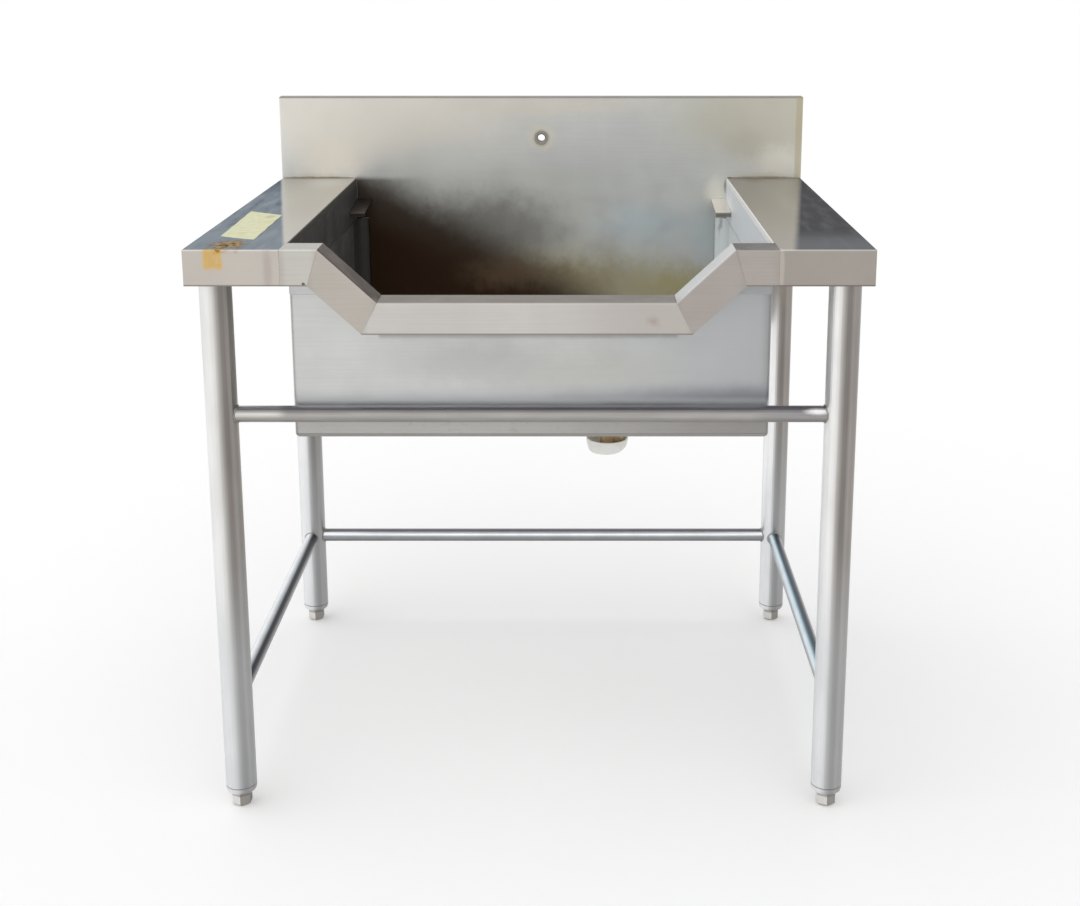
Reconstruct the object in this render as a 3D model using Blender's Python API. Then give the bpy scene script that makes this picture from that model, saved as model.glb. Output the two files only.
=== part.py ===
"""Free-standing stainless-steel fish sink: a deep bowl cut low at the front, two side wings and four legs.

Units are metres and +Z is up. The origin is on the floor, under the middle of the sink.
The front faces -Y, the backsplash stands at +Y, and +X is to the right.
"""

import math

import bmesh
import bpy

# Overall sizes
OVERALL_WIDTH = 1.000
OVERALL_DEPTH = 0.780
WORK_HEIGHT = 0.900

# Sheet and seams
SHEET = 0.0012
BEND_RADIUS = 0.0025
SEAM_GAP = 0.0003
BEND_STEPS = 3
SMOOTH_BELOW = math.radians(38)

# Backsplash and its returns
SPLASH_HEIGHT = 0.156
SPLASH_DEPTH = 0.025
SPLASH_LIP = 0.020
LIP_RELIEF = 0.004

# Aprons, front rim and the notch in the front
APRON_HEIGHT = 0.054
SLOPE_APRON_HEIGHT = 0.051
NOTCH_APRON_HEIGHT = 0.048
RIM_FLANGE = 0.012
NOTCH_LEFT_FLAT = 0.0525
NOTCH_RIGHT_FLAT = 0.0605
NOTCH_SLOPE_RUN = 0.0835
NOTCH_DROP = 0.078

# Bowl and the wings beside it
WING_WIDTH = 0.143
BOWL_DEPTH = 0.298
BOWL_FRONT_CORNER_RADIUS = 0.0065
BOWL_REAR_CORNER_RADIUS = 0.022
COLLAR_DROP = 0.077
COLLAR_TIP_TRIM = 0.003
COLLAR_BEND_RADIUS = 0.002
FLOOR_CORNER_RADIUS = 0.0015
FLOOR_FALL = 0.008
CORNER_STEPS = 6
COVE_STEPS = 3
FLOOR_FAN_STEP = math.radians(14)

# Supports in the bowl's rear corners
LEDGE_WIDTH = 0.029
LEDGE_LENGTH = 0.102
LEDGE_BACK_DROP = 0.040
LEDGE_FRONT_DROP = 0.051
LEDGE_LIP = 0.008
LEDGE_SHEET = 0.0015
LEDGE_END_GAP = 0.0006

# Legs and the plates that carry the shelves on them
LEG_RADIUS = 0.024
LEG_WALL = 0.0015
LEG_END_MARGIN = 0.013
PLATE_TO_APRON = 0.0078
LEG_BACK_CLEARANCE = 0.001
LEG_SIDES = 40
PLATE_MARGIN = 0.005
PLATE_BACK_MARGIN = 0.0005
PLATE_THICKNESS = 0.003
PLATE_CORNER = 0.006
PLATE_CORNER_STEPS = 2

# Stiffening channels under the shelves
CHANNEL_SHEET = 0.0015
CHANNEL_SIDE_CLEARANCE = 0.007
CHANNEL_DROP = 0.022
CHANNEL_FLANGE = 0.010
CHANNEL_END_CLEARANCE = 0.012

# Rails
RAIL_RADIUS = 0.0125
RAIL_WALL = 0.0015
RAIL_SIDES = 24
RAIL_TO_BOWL = 0.0033
FRONT_RAIL_ABOVE_BOWL_FLOOR = 0.041
LOWER_RAIL_HEIGHT = 0.180

# Screw feet
INSERT_COLLAR_BOTTOM = 0.0230
INSERT_COLLAR_HEIGHT = 0.0127
INSERT_FACE_RADIUS = 0.0165
INSERT_ROUNDING = 0.0075
INSERT_ROUNDING_STEPS = 3
INSERT_PLUG_LENGTH = 0.028
INSERT_FIT = 0.0003
STEM_RADIUS = 0.006
STEM_LENGTH = 0.070
THREAD_CLEARANCE = 0.0003
STEM_SOCKET_DEPTH = 0.007
PAD_ACROSS_FLATS = 0.028
PAD_HEIGHT = 0.0220
PAD_LOWER_EDGE = 0.0035
PAD_UPPER_EDGE = 0.001
STEM_SIDES = 24

# Tap inlet socket
TAP_HEIGHT_ABOVE_SHELF = 0.077
TAP_SOCKET_RADIUS = 0.014
TAP_BORE_RADIUS = 0.0075
TAP_SOCKET_PROUD = 0.0008
TAP_SOCKET_BACK_RECESS = 0.0018
TAP_CHAMFER = 0.0015
TAP_HOLE_CLEARANCE = 0.0004

# Drain, placed from the bowl's middle and from the front of the sink
DRAIN_X = 0.128
DRAIN_FROM_FRONT = 0.330
RECESS_MARGIN = 0.0013
RECESS_SLOPE = 0.0055
RECESS_DEPTH = 0.0032
WASTE_CUP_ROOM = 0.0055
WASTE_WALL = 0.0012
WASTE_FLANGE_WIDTH = 0.008
WASTE_CUP_DEPTH = 0.045
WASTE_HOLE_CLEARANCE = 0.001
STRAINER_SEAT_DROP = 0.010
STRAINER_SEAT_WIDTH = 0.004
SEAL_THICKNESS = 0.001
SEAL_MARGIN = 0.0008
CLAMP_RING_WIDTH = 0.009
CLAMP_RING_HEIGHT = 0.006
ROUND_SIDES = 36

# Lift-out strainer
STRAINER_SHEET = 0.001
STRAINER_FIT = 0.0005
STRAINER_DEPTH = 0.016
STRAINER_TAPER = 0.003
HOLE_RADIUS = 0.0021
HOLE_SIDES = 8
HOLE_RINGS = ((6, 0.0095), (12, 0.0175))
KNOB_STEM_RADIUS = 0.0028
KNOB_RADIUS = 0.0062
KNOB_TOP_RADIUS = 0.0050
KNOB_HEIGHT = 0.005

# Brass tail, its nut and gasket
TAIL_RADIUS = 0.0210
TAIL_WALL = 0.0035
TAIL_FLANGE_WIDTH = 0.0055
TAIL_FLANGE_THICKNESS = 0.002
TAIL_LENGTH = 0.0486
TAIL_CLEARANCE = 0.0003
GASKET_WIDTH = 0.006
GASKET_THICKNESS = 0.002
BACK_NUT_WALL = 0.0047
BACK_NUT_HEIGHT = 0.009

# White plastic outlet cup with its spigot
CUP_RIM_ABOVE_TAIL_END = 0.0135
CUP_DEPTH = 0.024
CUP_RIM_ROOM = 0.0122
CUP_FOOT_ROOM = 0.0012
CUP_WALL = 0.0030
CUP_RIM_SHIFT = -0.008
CUP_FOOT_SHIFT = -0.012
CUP_ROUNDING_STEPS = 6
SLEEVE_WALL = 0.0020
SLEEVE_GRIP = 0.006
SPIGOT_RADIUS = 0.0105
SPIGOT_WALL = 0.0020
SPIGOT_LENGTH = 0.065
SPIGOT_BELOW_TAIL_END = 0.0025
SPIGOT_FALL = math.radians(12)

# Places worked out from the sizes above
HALF_WIDTH = OVERALL_WIDTH / 2
HALF_BOWL = HALF_WIDTH - WING_WIDTH
FRONT = -OVERALL_DEPTH / 2
BACK = OVERALL_DEPTH / 2
SPLASH_FACE = BACK - SPLASH_DEPTH
PLATE_EDGE = LEG_RADIUS + PLATE_MARGIN
PLATE_BACK_EDGE = LEG_RADIUS + PLATE_BACK_MARGIN
LEG_FRONT_Y = FRONT + SHEET + PLATE_TO_APRON + PLATE_EDGE
LEG_BACK_Y = SPLASH_FACE - LEG_BACK_CLEARANCE - LEG_RADIUS
LEG_X = HALF_WIDTH - LEG_END_MARGIN - LEG_RADIUS
BOWL_FRONT = LEG_FRONT_Y + RAIL_RADIUS + RAIL_TO_BOWL + SHEET
SHELF_TOP = WORK_HEIGHT
SHELF_UNDERSIDE = SHELF_TOP - SHEET - SEAM_GAP
SPLASH_TOP = SHELF_TOP + SPLASH_HEIGHT
APRON_BOTTOM = SHELF_TOP - APRON_HEIGHT
COLLAR_BOTTOM = SHELF_TOP - COLLAR_DROP
COLLAR_TOP = SHELF_TOP - RIM_FLANGE - SEAM_GAP
BOWL_FLOOR = SHELF_TOP - BOWL_DEPTH
COVE_RADIUS = BOWL_FRONT_CORNER_RADIUS - FLOOR_CORNER_RADIUS
WALL_BOTTOM = BOWL_FLOOR + COVE_RADIUS + SEAM_GAP
WALL_TOP = COLLAR_BOTTOM - SEAM_GAP
SEAM_X = HALF_BOWL + BEND_RADIUS + SHEET / 2
FRONT_RAIL_HEIGHT = BOWL_FLOOR + FRONT_RAIL_ABOVE_BOWL_FLOOR
LEG_BOTTOM = INSERT_COLLAR_BOTTOM + INSERT_COLLAR_HEIGHT + SEAM_GAP
LEG_TOP = SHELF_UNDERSIDE - PLATE_THICKNESS - SEAM_GAP
TAP_HEIGHT = SHELF_TOP + TAP_HEIGHT_ABOVE_SHELF
DRAIN_Y = FRONT + DRAIN_FROM_FRONT
RECESS_EDGE = BOWL_FLOOR - FLOOR_FALL
RECESS_FLOOR = RECESS_EDGE - RECESS_DEPTH
TAIL_FLANGE_RADIUS = TAIL_RADIUS + TAIL_FLANGE_WIDTH
WASTE_INNER_RADIUS = TAIL_FLANGE_RADIUS + WASTE_CUP_ROOM
WASTE_CUP_RADIUS = WASTE_INNER_RADIUS + STRAINER_SEAT_WIDTH
WASTE_OUTER_RADIUS = WASTE_CUP_RADIUS + WASTE_WALL
WASTE_HOLE_RADIUS = WASTE_OUTER_RADIUS + WASTE_HOLE_CLEARANCE
WASTE_FLANGE_RADIUS = WASTE_OUTER_RADIUS + WASTE_FLANGE_WIDTH
RECESS_RADIUS = WASTE_FLANGE_RADIUS + RECESS_MARGIN
SEAL_BOTTOM = RECESS_FLOOR + SEAM_GAP
SEAL_TOP = SEAL_BOTTOM + SEAL_THICKNESS
FLANGE_BOTTOM = SEAL_TOP + SEAM_GAP
FLANGE_TOP = FLANGE_BOTTOM + WASTE_WALL
CUP_FLOOR = FLANGE_TOP - WASTE_CUP_DEPTH
STRAINER_SEAT = FLANGE_TOP - STRAINER_SEAT_DROP
TAIL_HOLE_RADIUS = TAIL_RADIUS + TAIL_CLEARANCE
TAIL_BOTTOM = CUP_FLOOR - TAIL_LENGTH
SLEEVE_RADIUS = TAIL_HOLE_RADIUS + SLEEVE_WALL
SLEEVE_TOP = TAIL_BOTTOM + SLEEVE_GRIP
CUP_RIM_HEIGHT = TAIL_BOTTOM + CUP_RIM_ABOVE_TAIL_END
CUP_BOTTOM_HEIGHT = CUP_RIM_HEIGHT - CUP_DEPTH
CUP_RIM_RADIUS = SLEEVE_RADIUS + CUP_RIM_ROOM
CUP_FOOT_RADIUS = TAIL_HOLE_RADIUS + CUP_FOOT_ROOM

LEGS = {
    "front_left": (-LEG_X, LEG_FRONT_Y),
    "front_right": (LEG_X, LEG_FRONT_Y),
    "back_left": (-LEG_X, LEG_BACK_Y),
    "back_right": (LEG_X, LEG_BACK_Y),
}

# The top edge of the front, from the left seam over the notch to the right seam
NOTCH_LEFT = NOTCH_LEFT_FLAT - HALF_BOWL
NOTCH_RIGHT = HALF_BOWL - NOTCH_RIGHT_FLAT
NOTCH_FLOOR = SHELF_TOP - NOTCH_DROP
NOTCH_LINE = [
    (-SEAM_X, SHELF_TOP),
    (NOTCH_LEFT, SHELF_TOP),
    (NOTCH_LEFT + NOTCH_SLOPE_RUN, NOTCH_FLOOR),
    (NOTCH_RIGHT - NOTCH_SLOPE_RUN, NOTCH_FLOOR),
    (NOTCH_RIGHT, SHELF_TOP),
    (SEAM_X, SHELF_TOP),
]
RIM_STRIPS = [
    ("front_rim_left", APRON_HEIGHT),
    ("front_rim_left_slope", SLOPE_APRON_HEIGHT),
    ("front_rim_centre", NOTCH_APRON_HEIGHT),
    ("front_rim_right_slope", SLOPE_APRON_HEIGHT),
    ("front_rim_right", APRON_HEIGHT),
]


# Scene and materials


def clear_scene():
    for obj in list(bpy.data.objects):
        bpy.data.objects.remove(obj, do_unlink=True)


def material(name, colour, roughness, metallic):
    made = bpy.data.materials.new(name)
    made.use_nodes = True
    shader = made.node_tree.nodes["Principled BSDF"]
    shader.inputs["Base Color"].default_value = (*colour, 1.0)
    shader.inputs["Roughness"].default_value = roughness
    shader.inputs["Metallic"].default_value = metallic
    made.diffuse_color = (*colour, 1.0)
    return made


def add_object(name, mesh, finish, location=(0, 0, 0), rotation=(0, 0, 0)):
    obj = bpy.data.objects.new(name, mesh)
    obj.location = location
    obj.rotation_euler = rotation
    if finish:
        mesh.materials.append(finish)
    bpy.context.scene.collection.objects.link(obj)
    return obj


def finish_mesh(name, shape):
    """Turns a bmesh into a mesh with its round sides shaded smooth."""
    mesh = bpy.data.meshes.new(name)
    shape.to_mesh(mesh)
    shape.free()
    mesh.shade_smooth()
    mesh.set_sharp_from_angle(angle=SMOOTH_BELOW)
    return mesh


# Outlines in a plane


def arc(centre, radius, start, end, steps):
    """Points on an arc, both ends included."""
    points = []
    for step in range(steps + 1):
        angle = start + (end - start) * step / steps
        points.append((centre[0] + radius * math.cos(angle), centre[1] + radius * math.sin(angle)))
    return points


def unit(start, end):
    length = math.dist(start, end)
    return ((end[0] - start[0]) / length, (end[1] - start[1]) / length)


def rounded_path(points, radius, steps=BEND_STEPS):
    """An open path whose inner corners are arcs of one radius."""
    path = [points[0]]
    for before, corner, after in zip(points, points[1:], points[2:]):
        into = unit(before, corner)
        out = unit(corner, after)
        cross = into[0] * out[1] - into[1] * out[0]
        turn = math.atan2(cross, into[0] * out[0] + into[1] * out[1])
        reach = radius * math.tan(abs(turn) / 2)
        side = math.copysign(1.0, turn)
        first = (corner[0] - into[0] * reach, corner[1] - into[1] * reach)
        centre = (first[0] - into[1] * radius * side, first[1] + into[0] * radius * side)
        begin = math.atan2(first[1] - centre[1], first[0] - centre[0])
        path += arc(centre, radius, begin, begin + turn, steps)
    path.append(points[-1])
    return path


def crossing(point_a, along_a, point_b, along_b):
    """Where two lines meet, each given by a point and a direction."""
    cross = along_a[0] * along_b[1] - along_a[1] * along_b[0]
    reach = ((point_b[0] - point_a[0]) * along_b[1] - (point_b[1] - point_a[1]) * along_b[0]) / cross
    return (point_a[0] + along_a[0] * reach, point_a[1] + along_a[1] * reach)


def parallel_path(points, distance):
    """The same open path moved to its right by a distance, with its corners kept."""
    sides = []
    for start, end in zip(points, points[1:]):
        along = unit(start, end)
        sides.append(((start[0] + along[1] * distance, start[1] - along[0] * distance), along))
    moved = [sides[0][0]]
    for (point_a, along_a), (point_b, along_b) in zip(sides, sides[1:]):
        moved.append(crossing(point_a, along_a, point_b, along_b))
    last = unit(points[-2], points[-1])
    moved.append((points[-1][0] + last[1] * distance, points[-1][1] - last[0] * distance))
    return moved


def sheet_outline(path, thickness):
    """A closed outline: the path and its parallel to the right, one sheet away."""
    return path + parallel_path(path, thickness)[::-1]


def rounded_rectangle(low, high, low_radius, high_radius, corner_steps=CORNER_STEPS):
    """A closed outline with one radius for its two low corners and one for its two high corners."""
    corners = [
        ((high[0] - low_radius, low[1] + low_radius), low_radius),
        ((high[0] - high_radius, high[1] - high_radius), high_radius),
        ((low[0] + high_radius, high[1] - high_radius), high_radius),
        ((low[0] + low_radius, low[1] + low_radius), low_radius),
    ]
    outline = []
    start = -math.pi / 2
    for centre, radius in corners:
        outline += arc(centre, radius, start, start + math.pi / 2, corner_steps)
        start += math.pi / 2
    return outline


def angle_seen(centre, start, end):
    """The angle that a side of an outline takes up, seen from a point inside the outline."""
    first = unit(centre, start)
    last = unit(centre, end)
    return math.atan2(first[0] * last[1] - first[1] * last[0], first[0] * last[0] + first[1] * last[1])


def fanned(outline, centre, counts):
    """The outline with each side cut where rays at equal angles from the centre meet it."""
    points = []
    for start, end, count in zip(outline, outline[1:] + outline[:1], counts):
        begin = math.atan2(start[1] - centre[1], start[0] - centre[0])
        seen = angle_seen(centre, start, end)
        points.append(start)
        for step in range(1, count):
            ray = begin + seen * step / count
            points.append(crossing(centre, (math.cos(ray), math.sin(ray)), start, unit(start, end)))
    return points


# Solids


def in_plane(axis, point, height):
    """Puts a flat outline's point in space: the outline lies across the axis, at a height along it."""
    if axis == "X":
        return (height, point[0], point[1])
    if axis == "Y":
        return (point[0], height, point[1])
    return (point[0], point[1], height)


def sheet_ends(shape, loop):
    """Closes the end of a bent sheet with one face for each step along its section."""
    half = len(loop) // 2
    for index in range(half - 1):
        opposite = len(loop) - 1 - index
        shape.faces.new((loop[index], loop[index + 1], loop[opposite - 1], loop[opposite]))


def join_rings(shape, rings, closed=False):
    """Adds points for rings with equally many points, and faces from each ring to the next."""
    loops = [[shape.verts.new(point) for point in ring] for ring in rings]
    pairs = list(zip(loops, loops[1:]))
    if closed:
        pairs.append((loops[-1], loops[0]))
    for lower, upper in pairs:
        count = len(lower)
        for index in range(count):
            following = (index + 1) % count
            shape.faces.new((lower[index], lower[following], upper[following], upper[index]))
    return loops


def cap_ends(shape, loops):
    """Closes the first and the last ring with one face each."""
    shape.faces.new(loops[0][::-1])
    shape.faces.new(loops[-1])


def bridged(name, rings, closed=False, is_sheet=False):
    """A closed body from rings with equally many points. If closed, the last ring joins the first."""
    shape = bmesh.new()
    loops = join_rings(shape, rings, closed)
    if is_sheet:
        sheet_ends(shape, loops[0])
        sheet_ends(shape, loops[-1])
    elif not closed:
        cap_ends(shape, loops)
    bmesh.ops.recalc_face_normals(shape, faces=shape.faces)
    return finish_mesh(name, shape)


def prism(name, outline, axis, low, high, is_sheet=False):
    """A flat outline pushed along an axis."""
    rings = [[in_plane(axis, point, height) for point in outline] for height in (low, high)]
    return bridged(name, rings, is_sheet=is_sheet)


def circle(radius, height, sides, centre=(0.0, 0.0)):
    ring = []
    for index in range(sides):
        angle = 2 * math.pi * index / sides
        ring.append(
            (centre[0] + radius * math.cos(angle), centre[1] + radius * math.sin(angle), height)
        )
    return ring


def hexagon(across_flats, height, sides):
    """A hexagon's ring with as many points as a circle of that many sides, flats included."""
    ring = []
    for index in range(sides):
        angle = 2 * math.pi * index / sides
        from_flat = (angle + math.pi / 6) % (math.pi / 3) - math.pi / 6
        reach = across_flats / 2 / math.cos(from_flat)
        ring.append((reach * math.cos(angle), reach * math.sin(angle), height))
    return ring


def turned(name, profile, sides, closed=True):
    """A turned body about Z, from a profile of radius and height."""
    return bridged(name, [circle(radius, height, sides) for radius, height in profile], closed)


def tube(name, radius, wall, length, sides):
    """A straight tube about Z that starts at the origin."""
    inner = radius - wall
    return turned(name, [(radius, 0.0), (radius, length), (inner, length), (inner, 0.0)], sides)


def cylinder(name, radius, low, high, sides, centre=(0.0, 0.0)):
    return bridged(name, [circle(radius, low, sides, centre), circle(radius, high, sides, centre)])


def folded_skin(name, faces, bends, radius):
    """The outer skin of a folded sheet: flat faces joined along bends, which become arcs."""
    shape = bmesh.new()
    corners = {}
    for face in faces:
        for point in face:
            key = tuple(round(value, 6) for value in point)
            if key not in corners:
                corners[key] = shape.verts.new(point)
    for face in faces:
        shape.faces.new([corners[tuple(round(value, 6) for value in point)] for point in face])
    folded = []
    for start, end in bends:
        first = corners[tuple(round(value, 6) for value in start)]
        second = corners[tuple(round(value, 6) for value in end)]
        folded.append(shape.edges.get((first, second)))
    bmesh.ops.recalc_face_normals(shape, faces=shape.faces)
    bmesh.ops.bevel(
        shape, geom=folded, offset=radius, segments=BEND_STEPS, profile=0.5, affect="EDGES"
    )
    return finish_mesh(name, shape)


def thicken(obj, thickness, outward):
    """Gives a skin its thickness, behind the side of its largest face that looks outward."""
    largest = max(obj.data.polygons, key=lambda face: face.area)
    facing = sum(a * b for a, b in zip(largest.normal, outward))
    modifier = obj.modifiers.new("sheet thickness", "SOLIDIFY")
    modifier.thickness = thickness
    modifier.offset = -1 if facing > 0 else 1
    modifier.use_even_offset = True


def cutter(name, mesh, location=(0, 0, 0), rotation=(0, 0, 0)):
    obj = add_object(name, mesh, None, location, rotation)
    obj.hide_render = True
    obj.display_type = "WIRE"
    return obj


def boolean(obj, other, operation="DIFFERENCE"):
    modifier = obj.modifiers.new(operation.lower(), "BOOLEAN")
    modifier.operation = operation
    modifier.object = other
    modifier.solver = "EXACT"


# Sheet-metal pieces


def make_shelf(side, name, finish):
    """A wing: top, front apron, end apron and the flange down into the bowl."""
    outer = side * HALF_WIDTH
    inner = side * HALF_BOWL
    seam = side * (SEAM_X + SEAM_GAP / 2)
    back = SPLASH_FACE - SEAM_GAP
    flange_front = BOWL_FRONT + SEAM_GAP
    flange_bottom = SHELF_TOP - RIM_FLANGE
    corner = (outer, FRONT, SHELF_TOP)
    corner_foot = (outer, FRONT, APRON_BOTTOM)
    seam_front = (seam, FRONT, SHELF_TOP)
    flange_start = (inner, flange_front, SHELF_TOP)
    flange_end = (inner, back, SHELF_TOP)
    end_back = (outer, back, SHELF_TOP)
    faces = [
        [corner, seam_front, (seam, flange_front, SHELF_TOP), flange_start, flange_end, end_back],
        [corner, corner_foot, (seam, FRONT, APRON_BOTTOM), seam_front],
        [corner, end_back, (outer, back, APRON_BOTTOM), corner_foot],
        [flange_start, (inner, flange_front, flange_bottom), (inner, back, flange_bottom), flange_end],
    ]
    bends = [
        (corner, seam_front),
        (corner, end_back),
        (corner, corner_foot),
        (flange_start, flange_end),
    ]
    shelf = add_object(name, folded_skin(name, faces, bends, BEND_RADIUS), finish)
    thicken(shelf, SHEET, (0, 0, 1))


def make_back_panel(finish):
    """One sheet: backsplash with returns, the rear aprons of the wings and the bowl's rear wall."""
    step = HALF_BOWL + SHEET
    narrow = HALF_BOWL - BOWL_REAR_CORNER_RADIUS - SEAM_GAP
    outline = [
        (-HALF_WIDTH, APRON_BOTTOM),
        (-step, APRON_BOTTOM),
        (-step, COLLAR_BOTTOM),
        (-narrow, COLLAR_BOTTOM),
        (-narrow, WALL_BOTTOM),
        (narrow, WALL_BOTTOM),
        (narrow, COLLAR_BOTTOM),
        (step, COLLAR_BOTTOM),
        (step, APRON_BOTTOM),
        (HALF_WIDTH, APRON_BOTTOM),
        (HALF_WIDTH, SPLASH_TOP),
        (-HALF_WIDTH, SPLASH_TOP),
    ]
    front = [(x, SPLASH_FACE, z) for x, z in outline]
    lip_left = (-HALF_WIDTH + LIP_RELIEF, BACK, SPLASH_TOP)
    lip_right = (HALF_WIDTH - LIP_RELIEF, BACK, SPLASH_TOP)
    lip_bottom = SPLASH_TOP - SPLASH_LIP
    top_left = (-HALF_WIDTH, SPLASH_FACE, SPLASH_TOP)
    top_right = (HALF_WIDTH, SPLASH_FACE, SPLASH_TOP)
    back_left = (-HALF_WIDTH, BACK, SPLASH_TOP)
    back_right = (HALF_WIDTH, BACK, SPLASH_TOP)
    foot_left = (-HALF_WIDTH, SPLASH_FACE, APRON_BOTTOM)
    foot_right = (HALF_WIDTH, SPLASH_FACE, APRON_BOTTOM)
    faces = [
        front,
        [top_left, top_right, back_right, lip_right, lip_left, back_left],
        [top_left, back_left, (-HALF_WIDTH, BACK, APRON_BOTTOM), foot_left],
        [top_right, foot_right, (HALF_WIDTH, BACK, APRON_BOTTOM), back_right],
        [
            lip_left,
            lip_right,
            (lip_right[0], BACK, lip_bottom),
            (lip_left[0], BACK, lip_bottom),
        ],
    ]
    bends = [
        (top_left, top_right),
        (top_left, foot_left),
        (top_right, foot_right),
        (top_left, back_left),
        (top_right, back_right),
        (lip_left, lip_right),
    ]
    panel = add_object(
        "back_panel", folded_skin("back_panel", faces, bends, BEND_RADIUS), finish
    )
    thicken(panel, SHEET, (0, -1, 0))
    hole = cylinder(
        "tap_hole", TAP_SOCKET_RADIUS + TAP_HOLE_CLEARANCE, -SPLASH_DEPTH, SPLASH_DEPTH, ROUND_SIDES
    )
    turn = (math.pi / 2, 0, 0)
    boolean(panel, cutter("tap_hole_cutter", hole, (0, SPLASH_FACE, TAP_HEIGHT), turn))


def notch_cutter(name, line):
    """Everything above a line across the front, from in front of the bowl to its middle."""
    far = HALF_WIDTH
    outline = [(-far, line[0][1])] + line + [(far, line[-1][1])]
    outline += [(far, SPLASH_TOP), (-far, SPLASH_TOP)]
    return cutter(name, prism(name, outline, "Y", FRONT, 0.0))


def make_bowl_walls(finish):
    """The round-cornered wrap of the bowl and the square collars above it, cut down by the notch."""
    inside = rounded_rectangle(
        (-HALF_BOWL, BOWL_FRONT),
        (HALF_BOWL, SPLASH_FACE),
        BOWL_FRONT_CORNER_RADIUS,
        BOWL_REAR_CORNER_RADIUS,
    )
    half = len(inside) // 2
    outline = sheet_outline(inside[half:] + inside[:half], SHEET)
    wrap_mesh = prism("bowl_wrap", outline, "Z", WALL_BOTTOM, WALL_TOP, is_sheet=True)
    wrap = add_object("bowl_wrap", wrap_mesh, finish)
    cut_line = parallel_path(NOTCH_LINE, RIM_FLANGE + SEAM_GAP)
    boolean(wrap, notch_cutter("wrap_notch_cutter", cut_line))

    collar_cut = notch_cutter("collar_notch_cutter", cut_line)
    slopes = ((-1, "collar_left", cut_line[1], cut_line[2]), (1, "collar_right", cut_line[4], cut_line[3]))
    for side, name, top, foot in slopes:
        down = unit(top, foot)
        tip = top[0] + down[0] * (COLLAR_BOTTOM - top[1]) / down[1] + side * COLLAR_TIP_TRIM
        corners = [
            (side * HALF_BOWL, SPLASH_FACE - SEAM_GAP),
            (side * HALF_BOWL, BOWL_FRONT),
            (tip, BOWL_FRONT),
        ]
        path = rounded_path(corners, COLLAR_BEND_RADIUS)
        outline = sheet_outline(path, -side * SHEET)
        mesh = prism(name, outline, "Z", COLLAR_BOTTOM, COLLAR_TOP, is_sheet=True)
        boolean(add_object(name, mesh, finish), collar_cut)


def make_bowl_floor(finish):
    """A pressed floor: coved edges, a fall to the drain and a recess round the waste."""
    drain = (DRAIN_X, DRAIN_Y)
    rings = []
    counts = []
    for step in range(COVE_STEPS + 1):
        angle = math.pi / 2 * step / COVE_STEPS
        inset = COVE_RADIUS * (1 - math.cos(angle))
        height = BOWL_FLOOR + COVE_RADIUS * (1 - math.sin(angle))
        outline = rounded_rectangle(
            (-HALF_BOWL + inset, BOWL_FRONT + inset),
            (HALF_BOWL - inset, SPLASH_FACE - inset),
            BOWL_FRONT_CORNER_RADIUS - inset,
            BOWL_REAR_CORNER_RADIUS - inset,
        )
        if not counts:
            sides = zip(outline, outline[1:] + outline[:1])
            counts = [math.ceil(angle_seen(drain, *side) / FLOOR_FAN_STEP) for side in sides]
        rings.append([(x, y, height) for x, y in fanned(outline, drain, counts)])
    directions = [math.atan2(y - DRAIN_Y, x - DRAIN_X) for x, y, _ in rings[-1]]
    for radius, height in (
        (RECESS_RADIUS + RECESS_SLOPE, RECESS_EDGE),
        (RECESS_RADIUS, RECESS_FLOOR),
        (WASTE_HOLE_RADIUS, RECESS_FLOOR),
    ):
        rings.append(
            [
                (DRAIN_X + radius * math.cos(turn), DRAIN_Y + radius * math.sin(turn), height)
                for turn in directions
            ]
        )
    shape = bmesh.new()
    join_rings(shape, rings)
    bmesh.ops.recalc_face_normals(shape, faces=shape.faces)
    floor = add_object("bowl_floor", finish_mesh("bowl_floor", shape), finish)
    thicken(floor, SHEET, (0, 0, 1))


def rim_profile(apron_height):
    """The closed section of a rim strip, as depth from the front and drop from its top edge."""
    path = [
        (FRONT, apron_height),
        (FRONT, 0.0),
        (BOWL_FRONT, 0.0),
        (BOWL_FRONT, RIM_FLANGE),
    ]
    return sheet_outline(rounded_path(path, BEND_RADIUS), -SHEET)


def rim_end(index, own, own_along, other, other_along):
    """The mitred end of a strip at a corner of the notch line, or a square end where none meets it."""
    corner = NOTCH_LINE[index]
    ring = []
    for (depth, drop), (_, other_drop) in zip(own, other):
        start = (corner[0] + own_along[1] * drop, corner[1] - own_along[0] * drop)
        if other_along is None:
            x, z = start
        else:
            far = (
                corner[0] + other_along[1] * other_drop,
                corner[1] - other_along[0] * other_drop,
            )
            x, z = crossing(start, own_along, far, other_along)
        ring.append((x, depth, z))
    return ring


def make_front_rim(finish):
    """The five mitred strips that carry the front edge over the notch."""
    directions = [unit(a, b) for a, b in zip(NOTCH_LINE, NOTCH_LINE[1:])]
    profiles = [rim_profile(height) for _, height in RIM_STRIPS]
    last = len(RIM_STRIPS) - 1
    for index, (name, _) in enumerate(RIM_STRIPS):
        along = directions[index]
        own = profiles[index]
        before = directions[index - 1] if index > 0 else None
        after = directions[index + 1] if index < last else None
        start = rim_end(index, own, along, profiles[max(index - 1, 0)], before)
        end = rim_end(index + 1, own, along, profiles[min(index + 1, last)], after)
        pull = SEAM_GAP / 2
        start = [(x + along[0] * pull, y, z + along[1] * pull) for x, y, z in start]
        end = [(x - along[0] * pull, y, z - along[1] * pull) for x, y, z in end]
        add_object(name, bridged(name, [start, end], is_sheet=True), finish)


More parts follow.
